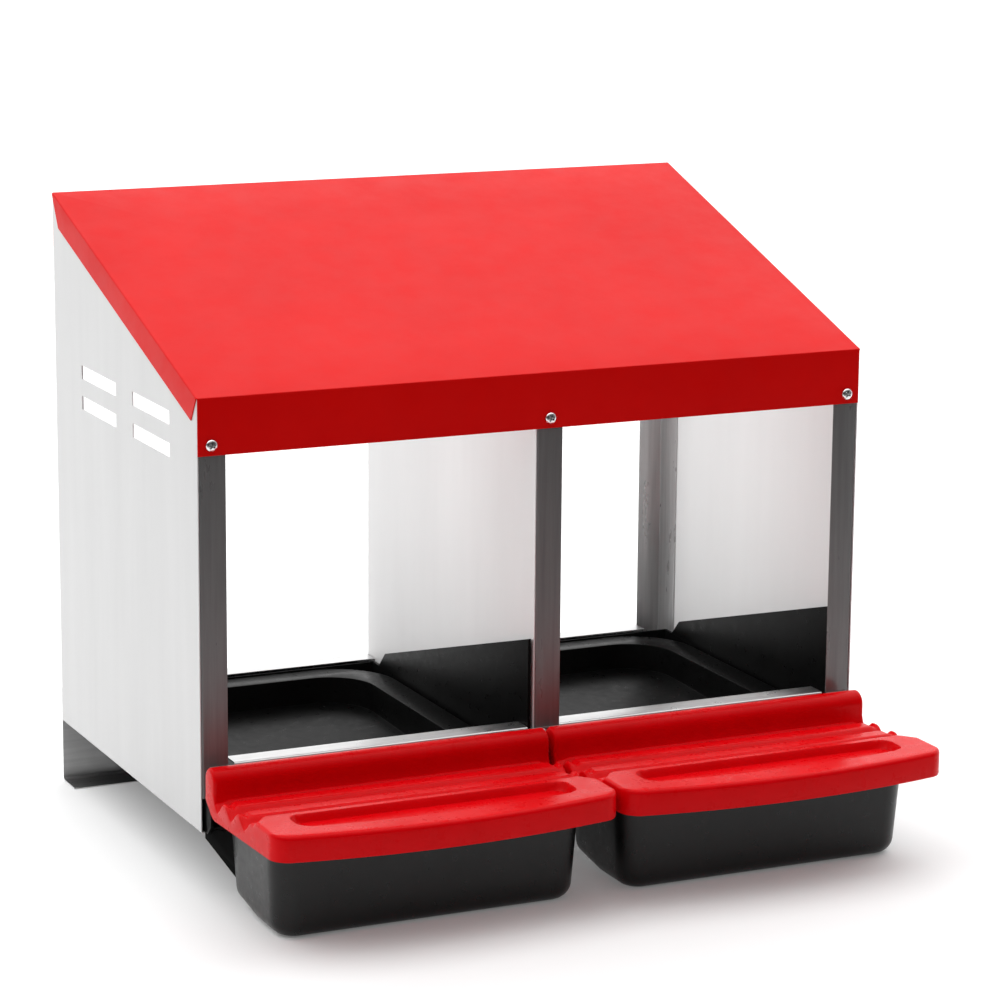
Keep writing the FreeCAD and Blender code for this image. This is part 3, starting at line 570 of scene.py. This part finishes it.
class Plan:
    """A rectangle with rounded corners, as points that can all be moved inwards. Its rear side has a pair of
    points close together at each end of the notch."""

    NOTCH_EDGE = 0.6
    FAR = 1000.0    # a straight side is an arc with its centre this far away

    def __init__(self, x0, x1, y0, y1, front, rear, notch):
        # Each point holds its arc's centre and radius, its inward direction, and the way that it goes once it
        # has moved inwards past that centre.
        self.points = []
        corners = (
            (x0 + rear, y1 - rear, rear, 90, X - Y),
            (x0 + front, y0 + front, front, 180, X + Y),
            (x1 - front, y0 + front, front, 270, Y - X),
            (x1 - rear, y1 - rear, rear, 0, -X - Y),
        )
        left_pair, right_pair = ([x + self.NOTCH_EDGE, x - self.NOTCH_EDGE] for x in notch)
        rear_line = [*right_pair, *steps(notch[1], notch[0], 14), *left_pair]
        sides = (
            [(x0, y) for y in steps(y1 - rear, y0 + front, 8)],
            [(x, y0) for x in steps(x0 + front, x1 - front, 14)],
            [(x1, y) for y in steps(y0 + front, y1 - rear, 8)],
            [(x, y1) for x in rear_line],
        )
        for (cx, cy, radius, start, mitre), side, inward in zip(corners, sides, (X, Y, -X, -Y)):
            count = 10 if radius > 5 else 3
            for k in range(count + 1):
                angle = math.radians(start + 90 * k / count)
                outward = Vector((math.cos(angle), math.sin(angle), 0))
                self.points.append((Vector((cx, cy, 0)), radius, -outward, mitre))
            for x, y in side:
                self.points.append((Vector((x, y, 0)) + inward * self.FAR, self.FAR, inward, inward))

    def inset(self, depth):
        """Every point moved inwards by depth, with its inward direction."""
        for centre, radius, inward, mitre in self.points:
            past = max(depth - radius, 0)
            yield centre - inward * max(radius - depth, 0) + mitre * past, inward


TRAY_WALL = 2.5
TRAY_CORNER, TRAY_REAR_CORNER, TRAY_FOOT = 22.0, 3.0, 13.0      # radii
SIDE_DRAFT, FRONT_DRAFT, REAR_DRAFT = 5.0, 6.0, 4.0             # how far the walls lean in at the foot
TRAY_LIFT, LIFT_FROM, LIFT_OVER = 6.0, -72.0, 40.0              # the floor's rise towards the rear
TRAY_SILL, SILL_INSET = -33.2, 7.5                              # the rear wall's cut-down stretch


def tray(name, node):
    """A drafted tub with rounded corners and foot, and its rear wall cut down below the egg chute."""
    low, high = span(node)
    top = high.z
    window = (low.x + SILL_INSET, high.x - SILL_INSET)
    plan = Plan(low.x, high.x, low.y, high.y, TRAY_CORNER, TRAY_REAR_CORNER, window)

    def floor_z(y):
        """Height of the floor's underside at depth y."""
        return GROUND + TRAY_LIFT * min(1.0, max(0.0, (y - LIFT_FROM) / LIFT_OVER))

    def rings(shrink):
        """Rings of points from the rim down to the middle of the floor."""
        radius = TRAY_FOOT - shrink
        levels = [(k / 6, 0.0) for k in range(7)] + [(1.0, QUARTER * k / 6) for k in range(1, 7)]
        result = []
        for drop, angle in levels:
            ring = []
            for spot, inward in plan.inset(shrink + radius * (1 - math.cos(angle))):
                base = floor_z(spot.y) + shrink
                cut = inward.y < -0.5 and window[0] < spot.x < window[1]
                z = mix(TRAY_SILL if cut else top, base + radius, drop) - radius * math.sin(angle)
                down = (top - z) / (top - GROUND)
                across = 2 * (spot.x - low.x) / (high.x - low.x) - 1
                back = (spot.y - low.y) / (high.y - low.y)
                ring.append(Vector((
                    spot.x - SIDE_DRAFT * down * across,
                    spot.y + mix(FRONT_DRAFT, -REAR_DRAFT, back) * down,
                    z,
                )))
            result.append(ring)
        edge = result[-1]
        middle = sum(edge, Vector()) / len(edge)
        for keep in (0.8, 0.55, 0.3, 0.1):
            ring = [middle + (point - middle) * keep for point in edge]
            for point in ring:
                point.z = floor_z(point.y) + shrink
            result.append(ring)
        return result

    bm = bmesh.new()
    outer = [[bm.verts.new(point) for point in ring] for ring in rings(0.0)]
    inner = [[bm.verts.new(point) for point in ring] for ring in rings(TRAY_WALL)]
    for stack in (outer, inner):
        join_loops(bm, stack)
        bm.faces.new(stack[-1])
    join_loops(bm, (outer[0], inner[0]))
    item = mesh_object(name, bm)
    round_edges(item, 0.6, 2, 55)
    present(settle(item, 40), BLACK, "housing", node)


# ------------------------------------------------------------------------------------------------- lids

# In a lid, x runs from its left end, and end is the distance from the nearer end.

LID_WIDE, LID_WALL = 306.0, 2.5
ROLL_Y, ROLL_Z, ROLL = -20.5, 51.5, 11.0                # the hinge roll: its axis and radius
ROLL_FOOT, LIP_FOOT = 46.0, 38.0                        # lower ends of its front and its rear side
LID_FRONT, LID_BOW, LID_CORNER = -185.0, 16.0, 14.0     # the front edge's middle, bow and corner radius
BOW_RADIUS = ((LID_WIDE / 2) ** 2 + LID_BOW ** 2) / (2 * LID_BOW)
DECK, SKIRT = 46.5, 24.5                                # heights of the raised front and of the skirt's foot
DECK_FROM, DECK_LATER, DECK_RISE = -107.0, 13.0, 6.5    # it rises from here, further forwards at the ends
DECK_ROUND, END_ROUND = 4.0, 3.0                        # radii of its front edge and of the lid's ends
RIBS_FROM, RIBS_BLEND = -32.5, 4.5                      # the ribbed part starts in front of the roll
CREST, CREST_RUN = 40.5, 30.5                           # the first rib's height, and the run for 1 mm of rise
RIBS, RIB_HALF = (-53.5, -84.0), 9.0
VALLEYS = ((-39.0, 7.5, 9.5), (-70.5, 6.0, 9.0), (-101.0, 6.5, 8.5))    # y, depth between the ends, at them
VALLEY_HALF = (9.0, 12.5)                               # half width between the ends and at them
PIT_END, PIT_HALF, PIT_DEEP = 6.5, 4.5, 3.0             # the pit at each end of a rib
GRIP_X, GRIP_REAR = (29.0, 277.0), -119.5               # the grip recess
GRIP_BACK, GRIP_DEEP, GRIP_CORNER, GRIP_WALL = 24.0, 7.0, 12.0, 3.0
HOLLOW_FROM, HOLLOW_TOP = -112.0, 28.5                  # the flat hollow under the ribs
KNUCKLE, KNUCKLE_HOLE = 4.5, 3.05                       # the short tubes on the rod: length and bore
SLOT_AT, SLOT_HALF = 14.0, 3.5                          # the slots for the brackets' arms
ROW_GAP = 0.02


def bow(x, inset=0.0):
    """Depth of the lid's bowed front edge at x."""
    return LID_FRONT + BOW_RADIUS - math.sqrt((BOW_RADIUS - inset) ** 2 - (x - LID_WIDE / 2) ** 2)


def front_edge(x, inset=0.0):
    """The bowed front with its rounded corners."""
    radius = LID_CORNER - inset
    near = min(x, LID_WIDE - x) - inset
    cut = 0.0 if near >= radius else radius - math.sqrt(max(0.0, radius ** 2 - (radius - near) ** 2))
    return bow(x, inset) + cut


def lid_top(x, y):
    """Height of the lid's upper face between the hinge roll and the front edge."""
    end = min(x, LID_WIDE - x)
    deep = 1 - smooth((end - 4.0) / 10.0)
    height = CREST - (y - RIBS[0]) / CREST_RUN
    for valley, shallow, depth in VALLEYS:
        away = abs(y - valley) / mix(*VALLEY_HALF, deep)
        if away < 1:
            shape = mix(0.5 + 0.5 * math.cos(math.pi * away), 1 - away, 0.6 * deep)
            height -= mix(shallow, depth, deep) * shape
    for peak in RIBS:
        away = abs(y - peak) / RIB_HALF
        gap = abs(end - PIT_END) / PIT_HALF
        if away < 1 and gap < 1:
            height -= PIT_DEEP * (0.5 + 0.5 * math.cos(math.pi * gap)) * (1 - away * away)
    start = DECK_FROM - DECK_LATER * (1 - smooth(end / 15.0))
    height = mix(height, DECK, smooth((start - y) / DECK_RISE))
    across = min(x - GRIP_X[0], GRIP_X[1] - x)
    down = min(GRIP_REAR - y, y - bow(x) - GRIP_BACK)
    inside = min(across, down)
    if inside > -2:
        if max(across, down) < GRIP_CORNER:
            inside = GRIP_CORNER - math.hypot(GRIP_CORNER - across, GRIP_CORNER - down)
        height -= GRIP_DEEP * smooth((inside + 0.3) / GRIP_WALL)
    return height


def lid_rows(x):
    """The y of each row from the roll's foot to the front edge: close together across the ribs and at both
    walls of the grip recess. Rows that the rounded corner cuts off are squeezed together at its edge."""
    rows = [RIBS_FROM - k * 1.55 for k in range(55)]
    rows += [-118.0, -119.0, -120.0, -121.0, -122.0, -123.2, -125.0]
    near = [bow(x) + gap for gap in (29, 27, 25.5, 24.4, 23.4, 22.4, 21.4, 20, 17, 13, 9, 6.5)]
    rows += steps(rows[-1], near[0], 8) + near
    for k in range(1, len(rows)):
        rows[k] = min(rows[k - 1] - ROW_GAP, rows[k])
    rows[-1] = front_edge(x) + DECK_ROUND
    for k in range(len(rows) - 2, 0, -1):
        rows[k] = max(rows[k + 1] + ROW_GAP, rows[k])
    return rows


def lid_outer(x):
    """Outer outline at x, from the rear lip over the roll and the ribs to the foot of the skirt."""
    short = END_ROUND - min(x, LID_WIDE - x, END_ROUND)
    inset = END_ROUND - math.sqrt(END_ROUND ** 2 - short ** 2)
    roll = ROLL - inset
    chain = [(ROLL_Y + roll, LIP_FOOT), (ROLL_Y + roll, 45.0)]
    for k in range(17):
        angle = math.pi * k / 16
        chain.append((ROLL_Y + roll * math.cos(angle), ROLL_Z + roll * math.sin(angle)))
    chain += [(ROLL_Y - roll, ROLL_FOOT), (ROLL_Y - roll, 41.0)]
    foot = lid_top(x, -36.0) - inset + 3.2
    for y in lid_rows(x):
        height = mix(foot, lid_top(x, y) - inset, smooth((RIBS_FROM - y) / RIBS_BLEND))
        chain.append((min(y, ROLL_Y - roll), height))
    front = front_edge(x)
    for k in range(1, 6):
        angle = QUARTER * k / 5
        back, down = (DECK_ROUND * (1 - turn) for turn in (math.sin(angle), math.cos(angle)))
        chain.append((front + back, DECK - inset - down))
    chain += [(front, 36.0), (front, SKIRT + 0.8), (front + 0.5, SKIRT)]
    return chain


def lid_inner(x):
    """Inner outline at x, from the foot of the skirt back to the rear lip."""
    front = front_edge(x, LID_WALL)
    chain = [(front, SKIRT), (front, 36.0), (front, DECK - LID_WALL - 1.5)]
    for y in reversed(lid_rows(x)):
        if y < HOLLOW_FROM:
            chain.append((max(y, front + 0.3), min(lid_top(x, y), DECK) - LID_WALL))
    chain += [(-106.0, 35.0), (-100.0, HOLLOW_TOP), (-36.0, HOLLOW_TOP), (-29.0, 31.0)]
    inner = ROLL - LID_WALL
    for k in range(13):
        angle = math.pi * (1 - k / 12)
        chain.append((ROLL_Y + inner * math.cos(angle), ROLL_Z + inner * math.sin(angle)))
    chain.append((ROLL_Y + inner, LIP_FOOT))
    return chain


def lid_bottom(x):
    """Lower edge of an end wall, from the rear lip's foot to the skirt's."""
    front = front_edge(x) + 0.5
    rear = [(-11.0, 34.5), (-14.5, 31.0), (-19.0, 28.0), (-23.5, 23.8), (-28.0, 21.3), (-33.0, 20.5)]
    lowest_y, lowest_z = rear[-1]
    return rear + list(zip(steps(lowest_y, front, 6), steps(lowest_z, SKIRT, 6)))


def stations():
    """Places across the lid, close together at its ends and at the ends of the grip recess."""
    near = [0, 0.25, 0.8, 1.6, *(LID_WALL + k for k in range(12)), 15, 17, 19.5, 22, 25]
    near += [27, 28, 29, 30, 31, 32.5, 34.5, 37, 40, 45]
    far = [LID_WIDE - x for x in reversed(near)]
    return near + steps(near[-1], far[0], 30) + far


def lid(name, node, body):
    """A moulded lid: hinge roll, two ribs with pits at their ends, raised deck with a grip recess, skirt."""
    left = span(node)[0].x
    places = stations()
    bm = bmesh.new()

    def line(x, chain):
        """Vertices of an outline at x."""
        return [bm.verts.new((left + x, y, z)) for y, z in chain]

    def bridge(a, b):
        """Faces between two outlines of the same length."""
        for k in range(len(a) - 1):
            bm.faces.new((a[k], a[k + 1], b[k + 1], b[k]))

    outer = [line(x, lid_outer(x)) for x in places]
    for a, b in zip(outer, outer[1:]):
        bridge(a, b)
    first = places.index(LID_WALL)
    last = len(places) - 1 - first
    hollow = [line(places[k], lid_inner(places[k])) for k in range(first, last + 1)]
    for a, b in zip(hollow, hollow[1:]):
        bridge(a, b)
    for k in range(first, last):
        a, b = hollow[k - first], hollow[k - first + 1]
        bm.faces.new((outer[k][-1], outer[k + 1][-1], b[0], a[0]))
        bm.faces.new((outer[k][0], outer[k + 1][0], b[-1], a[-1]))
    # Each end wall runs from the lid's very end to the place where the hollow starts.
    for wall, rim, cap, cell in (
        (range(first + 1), -1, 0, hollow[0]),
        (range(last, len(places)), 0, -1, hollow[-1]),
    ):
        feet = [line(places[k], lid_bottom(places[k])) for k in wall]
        tops = [outer[k] for k in wall]
        lower = [[top[0], *foot, top[-1]] for top, foot in zip(tops, feet)]
        for a, b in zip(lower, lower[1:]):
            bridge(a, b)
        bm.faces.new(tops[cap] + feet[cap][::-1])
        bm.faces.new(lower[rim] + cell)
    for start in (LID_WALL, LID_WIDE - LID_WALL - KNUCKLE):
        ring(bm, left + start, KNUCKLE, KNUCKLE_HOLE, ROLL - LID_WALL - 1.0)
    item = mesh_object(name, bm)
    cutters = []
    for middle in (left + SLOT_AT, left + LID_WIDE - SLOT_AT):
        cutter = block((middle - SLOT_HALF, -13.5, 35.0), (middle + SLOT_HALF, -8.0, 57.5))
        cutters.append(mesh_object("arm_slot_cutter", cutter))
    carve(item, cutters)
    present(settle(item, 35), RED, body, node)


def ring(bm, x, long, inner, outer):
    """Adds a short tube about the hinge line."""
    loops = []
    for place, radius in ((x, inner), (x, outer), (x + long, outer), (x + long, inner)):
        loops.append([
            bm.verts.new((place, ROLL_Y + radius * math.cos(a), ROLL_Z + radius * math.sin(a)))
            for a in circle(28)
        ])
    join_loops(bm, loops + loops[:1])


# ------------------------------------------------------------------------------------------- fasteners

FASTENER_GAP = 20.0     # fasteners of one node are further apart than this, and none is as wide
THREAD, HEX_HALF, HEX_CORNER = 2.55, 4.0, 4.55


def centres(node, plane):
    """Middle of each fastener of a node on the plane y, in housing millimetres, from left to right."""
    points = [(vertex.co - HOME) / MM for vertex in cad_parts[node].data.vertices]
    points.sort(key=lambda point: point.x)
    groups = [points[:1]]
    for point in points[1:]:
        if point.x - groups[-1][-1].x > FASTENER_GAP:
            groups.append([])
        groups[-1].append(point)
    result = []
    for group in groups:
        x, z = ([point[axis] for point in group] for axis in (0, 2))
        result.append(Vector(((min(x) + max(x)) / 2, plane, (min(z) + max(z)) / 2)))
    return result


def turned(bm, centre, facing, profile):
    """Revolves (distance outwards, radius) pairs about the y axis; the ends close on the axis."""
    loops = []
    for out, radius in profile:
        y = centre.y + facing * out
        if radius == 0:
            loops.append([bm.verts.new((centre.x, y, centre.z))])
        else:
            loops.append([
                bm.verts.new((centre.x + radius * math.cos(a), y, centre.z + radius * math.sin(a)))
                for a in circle(32)
            ])
    join_loops(bm, loops)


def screws(name, node, plane, facing):
    """Pan-head screws with a cross recess, seated on the plane y. facing is +1 or -1 along y."""
    bm = bmesh.new()
    head = [(0.0, 5.1), (0.5, 5.2), (1.2, 4.95), (1.9, 4.2), (2.35, 3.0), (2.55, 1.5), (2.6, 0)]
    shank = [(-8.0, 0), (-8.0, 2.2), (-7.6, 2.5), (0.0, 2.5)]
    places = centres(node, plane)
    for place in places:
        turned(bm, place, facing, shank + head)
    item = mesh_object(name, bm)
    cutters = []
    for place in places:
        for wide, tall in ((6.2, 1.3), (1.3, 6.2)):
            near = sorted((plane + facing * 0.9, plane + facing * 3.2))
            cutter = block((place.x - wide / 2, near[0], place.z - tall / 2),
                           (place.x + wide / 2, near[1], place.z + tall / 2))
            bmesh.ops.rotate(cutter, cent=(place.x, 0, place.z), matrix=Matrix.Rotation(0.6, 3, "Y"),
                             verts=cutter.verts)
            cutters.append(mesh_object("recess_cutter", cutter))
    carve(item, cutters)
    round_edges(item, 0.12, 1, 50)
    present(settle(item, 35), BRIGHT, "housing", node)


def nuts(name, node, plane, facing):
    """Hexagon nuts with chamfered corners and a thread hole, seated on the plane y."""
    bm = bmesh.new()
    profile = ((0.0, THREAD), (0.0, 4.2), (0.4, HEX_CORNER), (2.8, HEX_CORNER), (3.2, 4.2), (3.2, 2.9),
               (2.8, THREAD))
    for place in centres(node, plane):
        loops = []
        for out, radius in profile:
            loop = []
            for angle in circle(24):
                flat = abs(((math.degrees(angle) + 30) % 60) - 30)
                hexagon = HEX_HALF / math.cos(math.radians(flat))
                reach = radius if radius < HEX_HALF else min(radius, hexagon)
                loop.append(bm.verts.new((place.x + reach * math.cos(angle), plane + facing * out,
                                          place.z + reach * math.sin(angle))))
            loops.append(loop)
        join_loops(bm, loops + loops[:1])
    present(settle(mesh_object(name, bm), 30), BRIGHT, "housing", node)


def rivets(name, node, plane, facing, grip):
    """Dome-head blind rivets through grip millimetres, with a dimple where the mandrel broke off."""
    bm = bmesh.new()
    dome = [(0.0, 3.0), (0.35, 2.95), (0.8, 2.5), (1.1, 1.7), (1.2, 1.0), (0.8, 0.75), (0.7, 0)]
    shank = [(-grip - 1.4, 0), (-grip - 1.4, 1.4), (-grip - 0.5, 1.6), (0, 1.6)]
    for place in centres(node, plane):
        turned(bm, place, facing, shank + dome)
    present(settle(mesh_object(name, bm), 35), BRIGHT, "housing", node)


# --------------------------------------------------------------------------------------- stage and view

def stage():
    """A wide pale floor, its colour painted dark well in front of the box as painted shade, and giving off
    painted light under and behind the box.
    """
    bm = bmesh.new()
    bmesh.ops.create_grid(bm, x_segments=2, y_segments=2, size=30)
    floor = linked("floor", bm)
    floor.location.z = -0.0002
    material = bpy.data.materials.new("floor_paper")
    material.use_nodes = True
    tree = material.node_tree
    shader = tree.nodes["Principled BSDF"]
    shader.inputs["Roughness"].default_value = 0.9
    shader.inputs["Specular IOR Level"].default_value = 0.1
    place = node_of(tree, "TexCoord")
    split = node_of(tree, "SeparateXYZ")
    tree.links.new(place.outputs["Object"], split.inputs["Vector"])
    # Painted shade: the floor's colour falls to near black well in front of the box, so glossy parts reflect
    # a dark floor there.
    shade = map_range(tree, split.outputs["Y"], -1.4, -0.6, 0.04, 0.78)
    tree.links.new(shade, shader.inputs["Base Color"])
    # Painted light: the floor gives off light under and behind the box, lifting its shadows and lighting the
    # box from below, though it is no lamp.
    shader.inputs["Emission Color"].default_value = (1, 1, 1, 1)
    painted_glow = map_range(tree, split.outputs["Y"], -0.5, 0.0, 0.0, 0.2)
    tree.links.new(painted_glow, shader.inputs["Emission Strength"])
    coat(floor, material)


def combine(tree, operation, first, second):
    """One arithmetic step on two values."""
    step = node_of(tree, "Math")
    step.operation = operation
    tree.links.new(first, step.inputs[0])
    tree.links.new(second, step.inputs[1])
    return step.outputs["Value"]


def soft_light(name, place, aim, size, power, mirrored=True):
    """A large square lamp that faces a point. mirrored is whether glossy surfaces reflect it."""
    data = bpy.data.lights.new(name, "AREA")
    data.shape = "SQUARE"
    data.size = size
    data.energy = power
    lamp = bpy.data.objects.new(name, data)
    lamp.location = place
    lamp.visible_camera = False
    lamp.visible_glossy = mirrored
    lamp.rotation_euler = (Vector(aim) - Vector(place)).to_track_quat("-Z", "Y").to_euler()
    bpy.context.scene.collection.objects.link(lamp)


def sky():
    """A soft surround: bright above and behind, dimmer to the left, dark low down in front of the box."""
    world = bpy.data.worlds.new("surround")
    bpy.context.scene.world = world
    world.use_nodes = True
    tree = world.node_tree
    place = node_of(tree, "TexCoord")
    split = node_of(tree, "SeparateXYZ")
    tree.links.new(place.outputs["Generated"], split.inputs["Vector"])
    rear = map_range(tree, split.outputs["Y"], -0.7, 0.4, 0.04, 1.5)
    above = map_range(tree, split.outputs["Z"], 0.3, 0.85, 0.0, 2.6)
    ahead = map_range(tree, split.outputs["Y"], -0.7, 0.1, 0.3, 1.0)
    beside = map_range(tree, split.outputs["X"], -0.9, -0.1, 0.3, 1.0)
    overhead = combine(tree, "MULTIPLY", above, ahead)
    strength = combine(tree, "MAXIMUM", combine(tree, "MULTIPLY", rear, beside), overhead)
    tree.links.new(strength, tree.nodes["Background"].inputs["Strength"])
    tree.nodes["Background"].inputs["Color"].default_value = (1, 1, 1, 1)


CAMERA_PLACE = (-1.272009, -2.750968, 0.960372)
CAMERA_TURN = (24.916, 12.363, 0.465)    # degrees: to the right, down, and about the line of sight
CAMERA_LENS, CAMERA_SENSOR = 127.27, 36.0


def camera():
    """The viewpoint: to the left and a little above, far enough for a long lens."""
    yaw, pitch, roll = (math.radians(a) for a in CAMERA_TURN)
    forward = Vector((math.sin(yaw) * math.cos(pitch), math.cos(yaw) * math.cos(pitch), -math.sin(pitch)))
    right = Vector((math.cos(yaw), -math.sin(yaw), 0))
    up = right.cross(forward)
    tilted_right = right * math.cos(roll) + up * math.sin(roll)
    tilted_up = up * math.cos(roll) - right * math.sin(roll)
    data = bpy.data.cameras.new("camera")
    data.sensor_width = CAMERA_SENSOR
    data.lens = CAMERA_LENS
    item = bpy.data.objects.new("camera", data)
    turn = Matrix((tilted_right, tilted_up, -forward)).transposed()
    item.matrix_world = Matrix.Translation(CAMERA_PLACE) @ turn.to_4x4()
    bpy.context.scene.collection.objects.link(item)
    bpy.context.scene.camera = item


# --------------------------------------------------------------------------------------------- assembly

camera()
sky()
stage()
soft_light("light_rear_left", (-2.2, 2.6, 1.6), (0, 0, 0.3), 1.8, 4)
for side in ("left", "right"):
    low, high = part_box(f"nest_pan_{side}")
    middle = Vector((low.x - 0.003, (low.y + high.y) / 2, 0.29))
    soft_light(f"light_inside_{side}", middle, middle + X, 0.28, 0.75, mirrored=False)
bpy.context.scene.view_settings.view_transform = "Standard"

roof()
side_wall("wall_left", "left_side_panel", 0.0, 1)
side_wall("wall_right", "right_side_panel", WIDTH, -1)
divider()
posts()
sills()
rear_foot()
for side in ("left", "right"):
    tray(f"tray_{side}", f"egg_tray_{side}")
    lid(f"lid_skin_{side}", f"lid_{side}", f"lid_{side}")
    for node, name, width in (
        (f"nest_basin_{side}", f"basin_{side}", 0.45),
        (f"nest_pan_{side}", f"pan_{side}", 1.5),
    ):
        # Basins and pans take the darker, duller copy of the black plastic, as painted shade.
        present(copy_of(node, name, width, 3), SHADED_NEST_BLACK, "housing", node)
    node = f"divider_runner_{side}"
    present(copy_of(node, f"runner_{side}", 0.2), ZINC, "housing", node)
    coat(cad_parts[f"hinge_rod_{side}"], BRIGHT)
for side in ("left", "centre", "right"):
    node = f"hinge_bracket_{side}"
    present(copy_of(node, f"bracket_{side}", 0.25), ZINC, "housing", node)
screws("front_screws", "roof_front_screws", -SHEET, -1)
screws("rear_screws", "roof_rear_screws", DEPTH + SHEET, 1)
nuts("front_nuts", "roof_front_nuts", SHEET, 1)
nuts("rear_nuts", "roof_rear_nuts", DEPTH - SHEET, -1)
rivets("post_rivets", "bracket_rivets", -1.5, -1, 3.5)
rivets("foot_rivets", "rear_panel_rivets", DEPTH + SHEET, 1, 2.0)
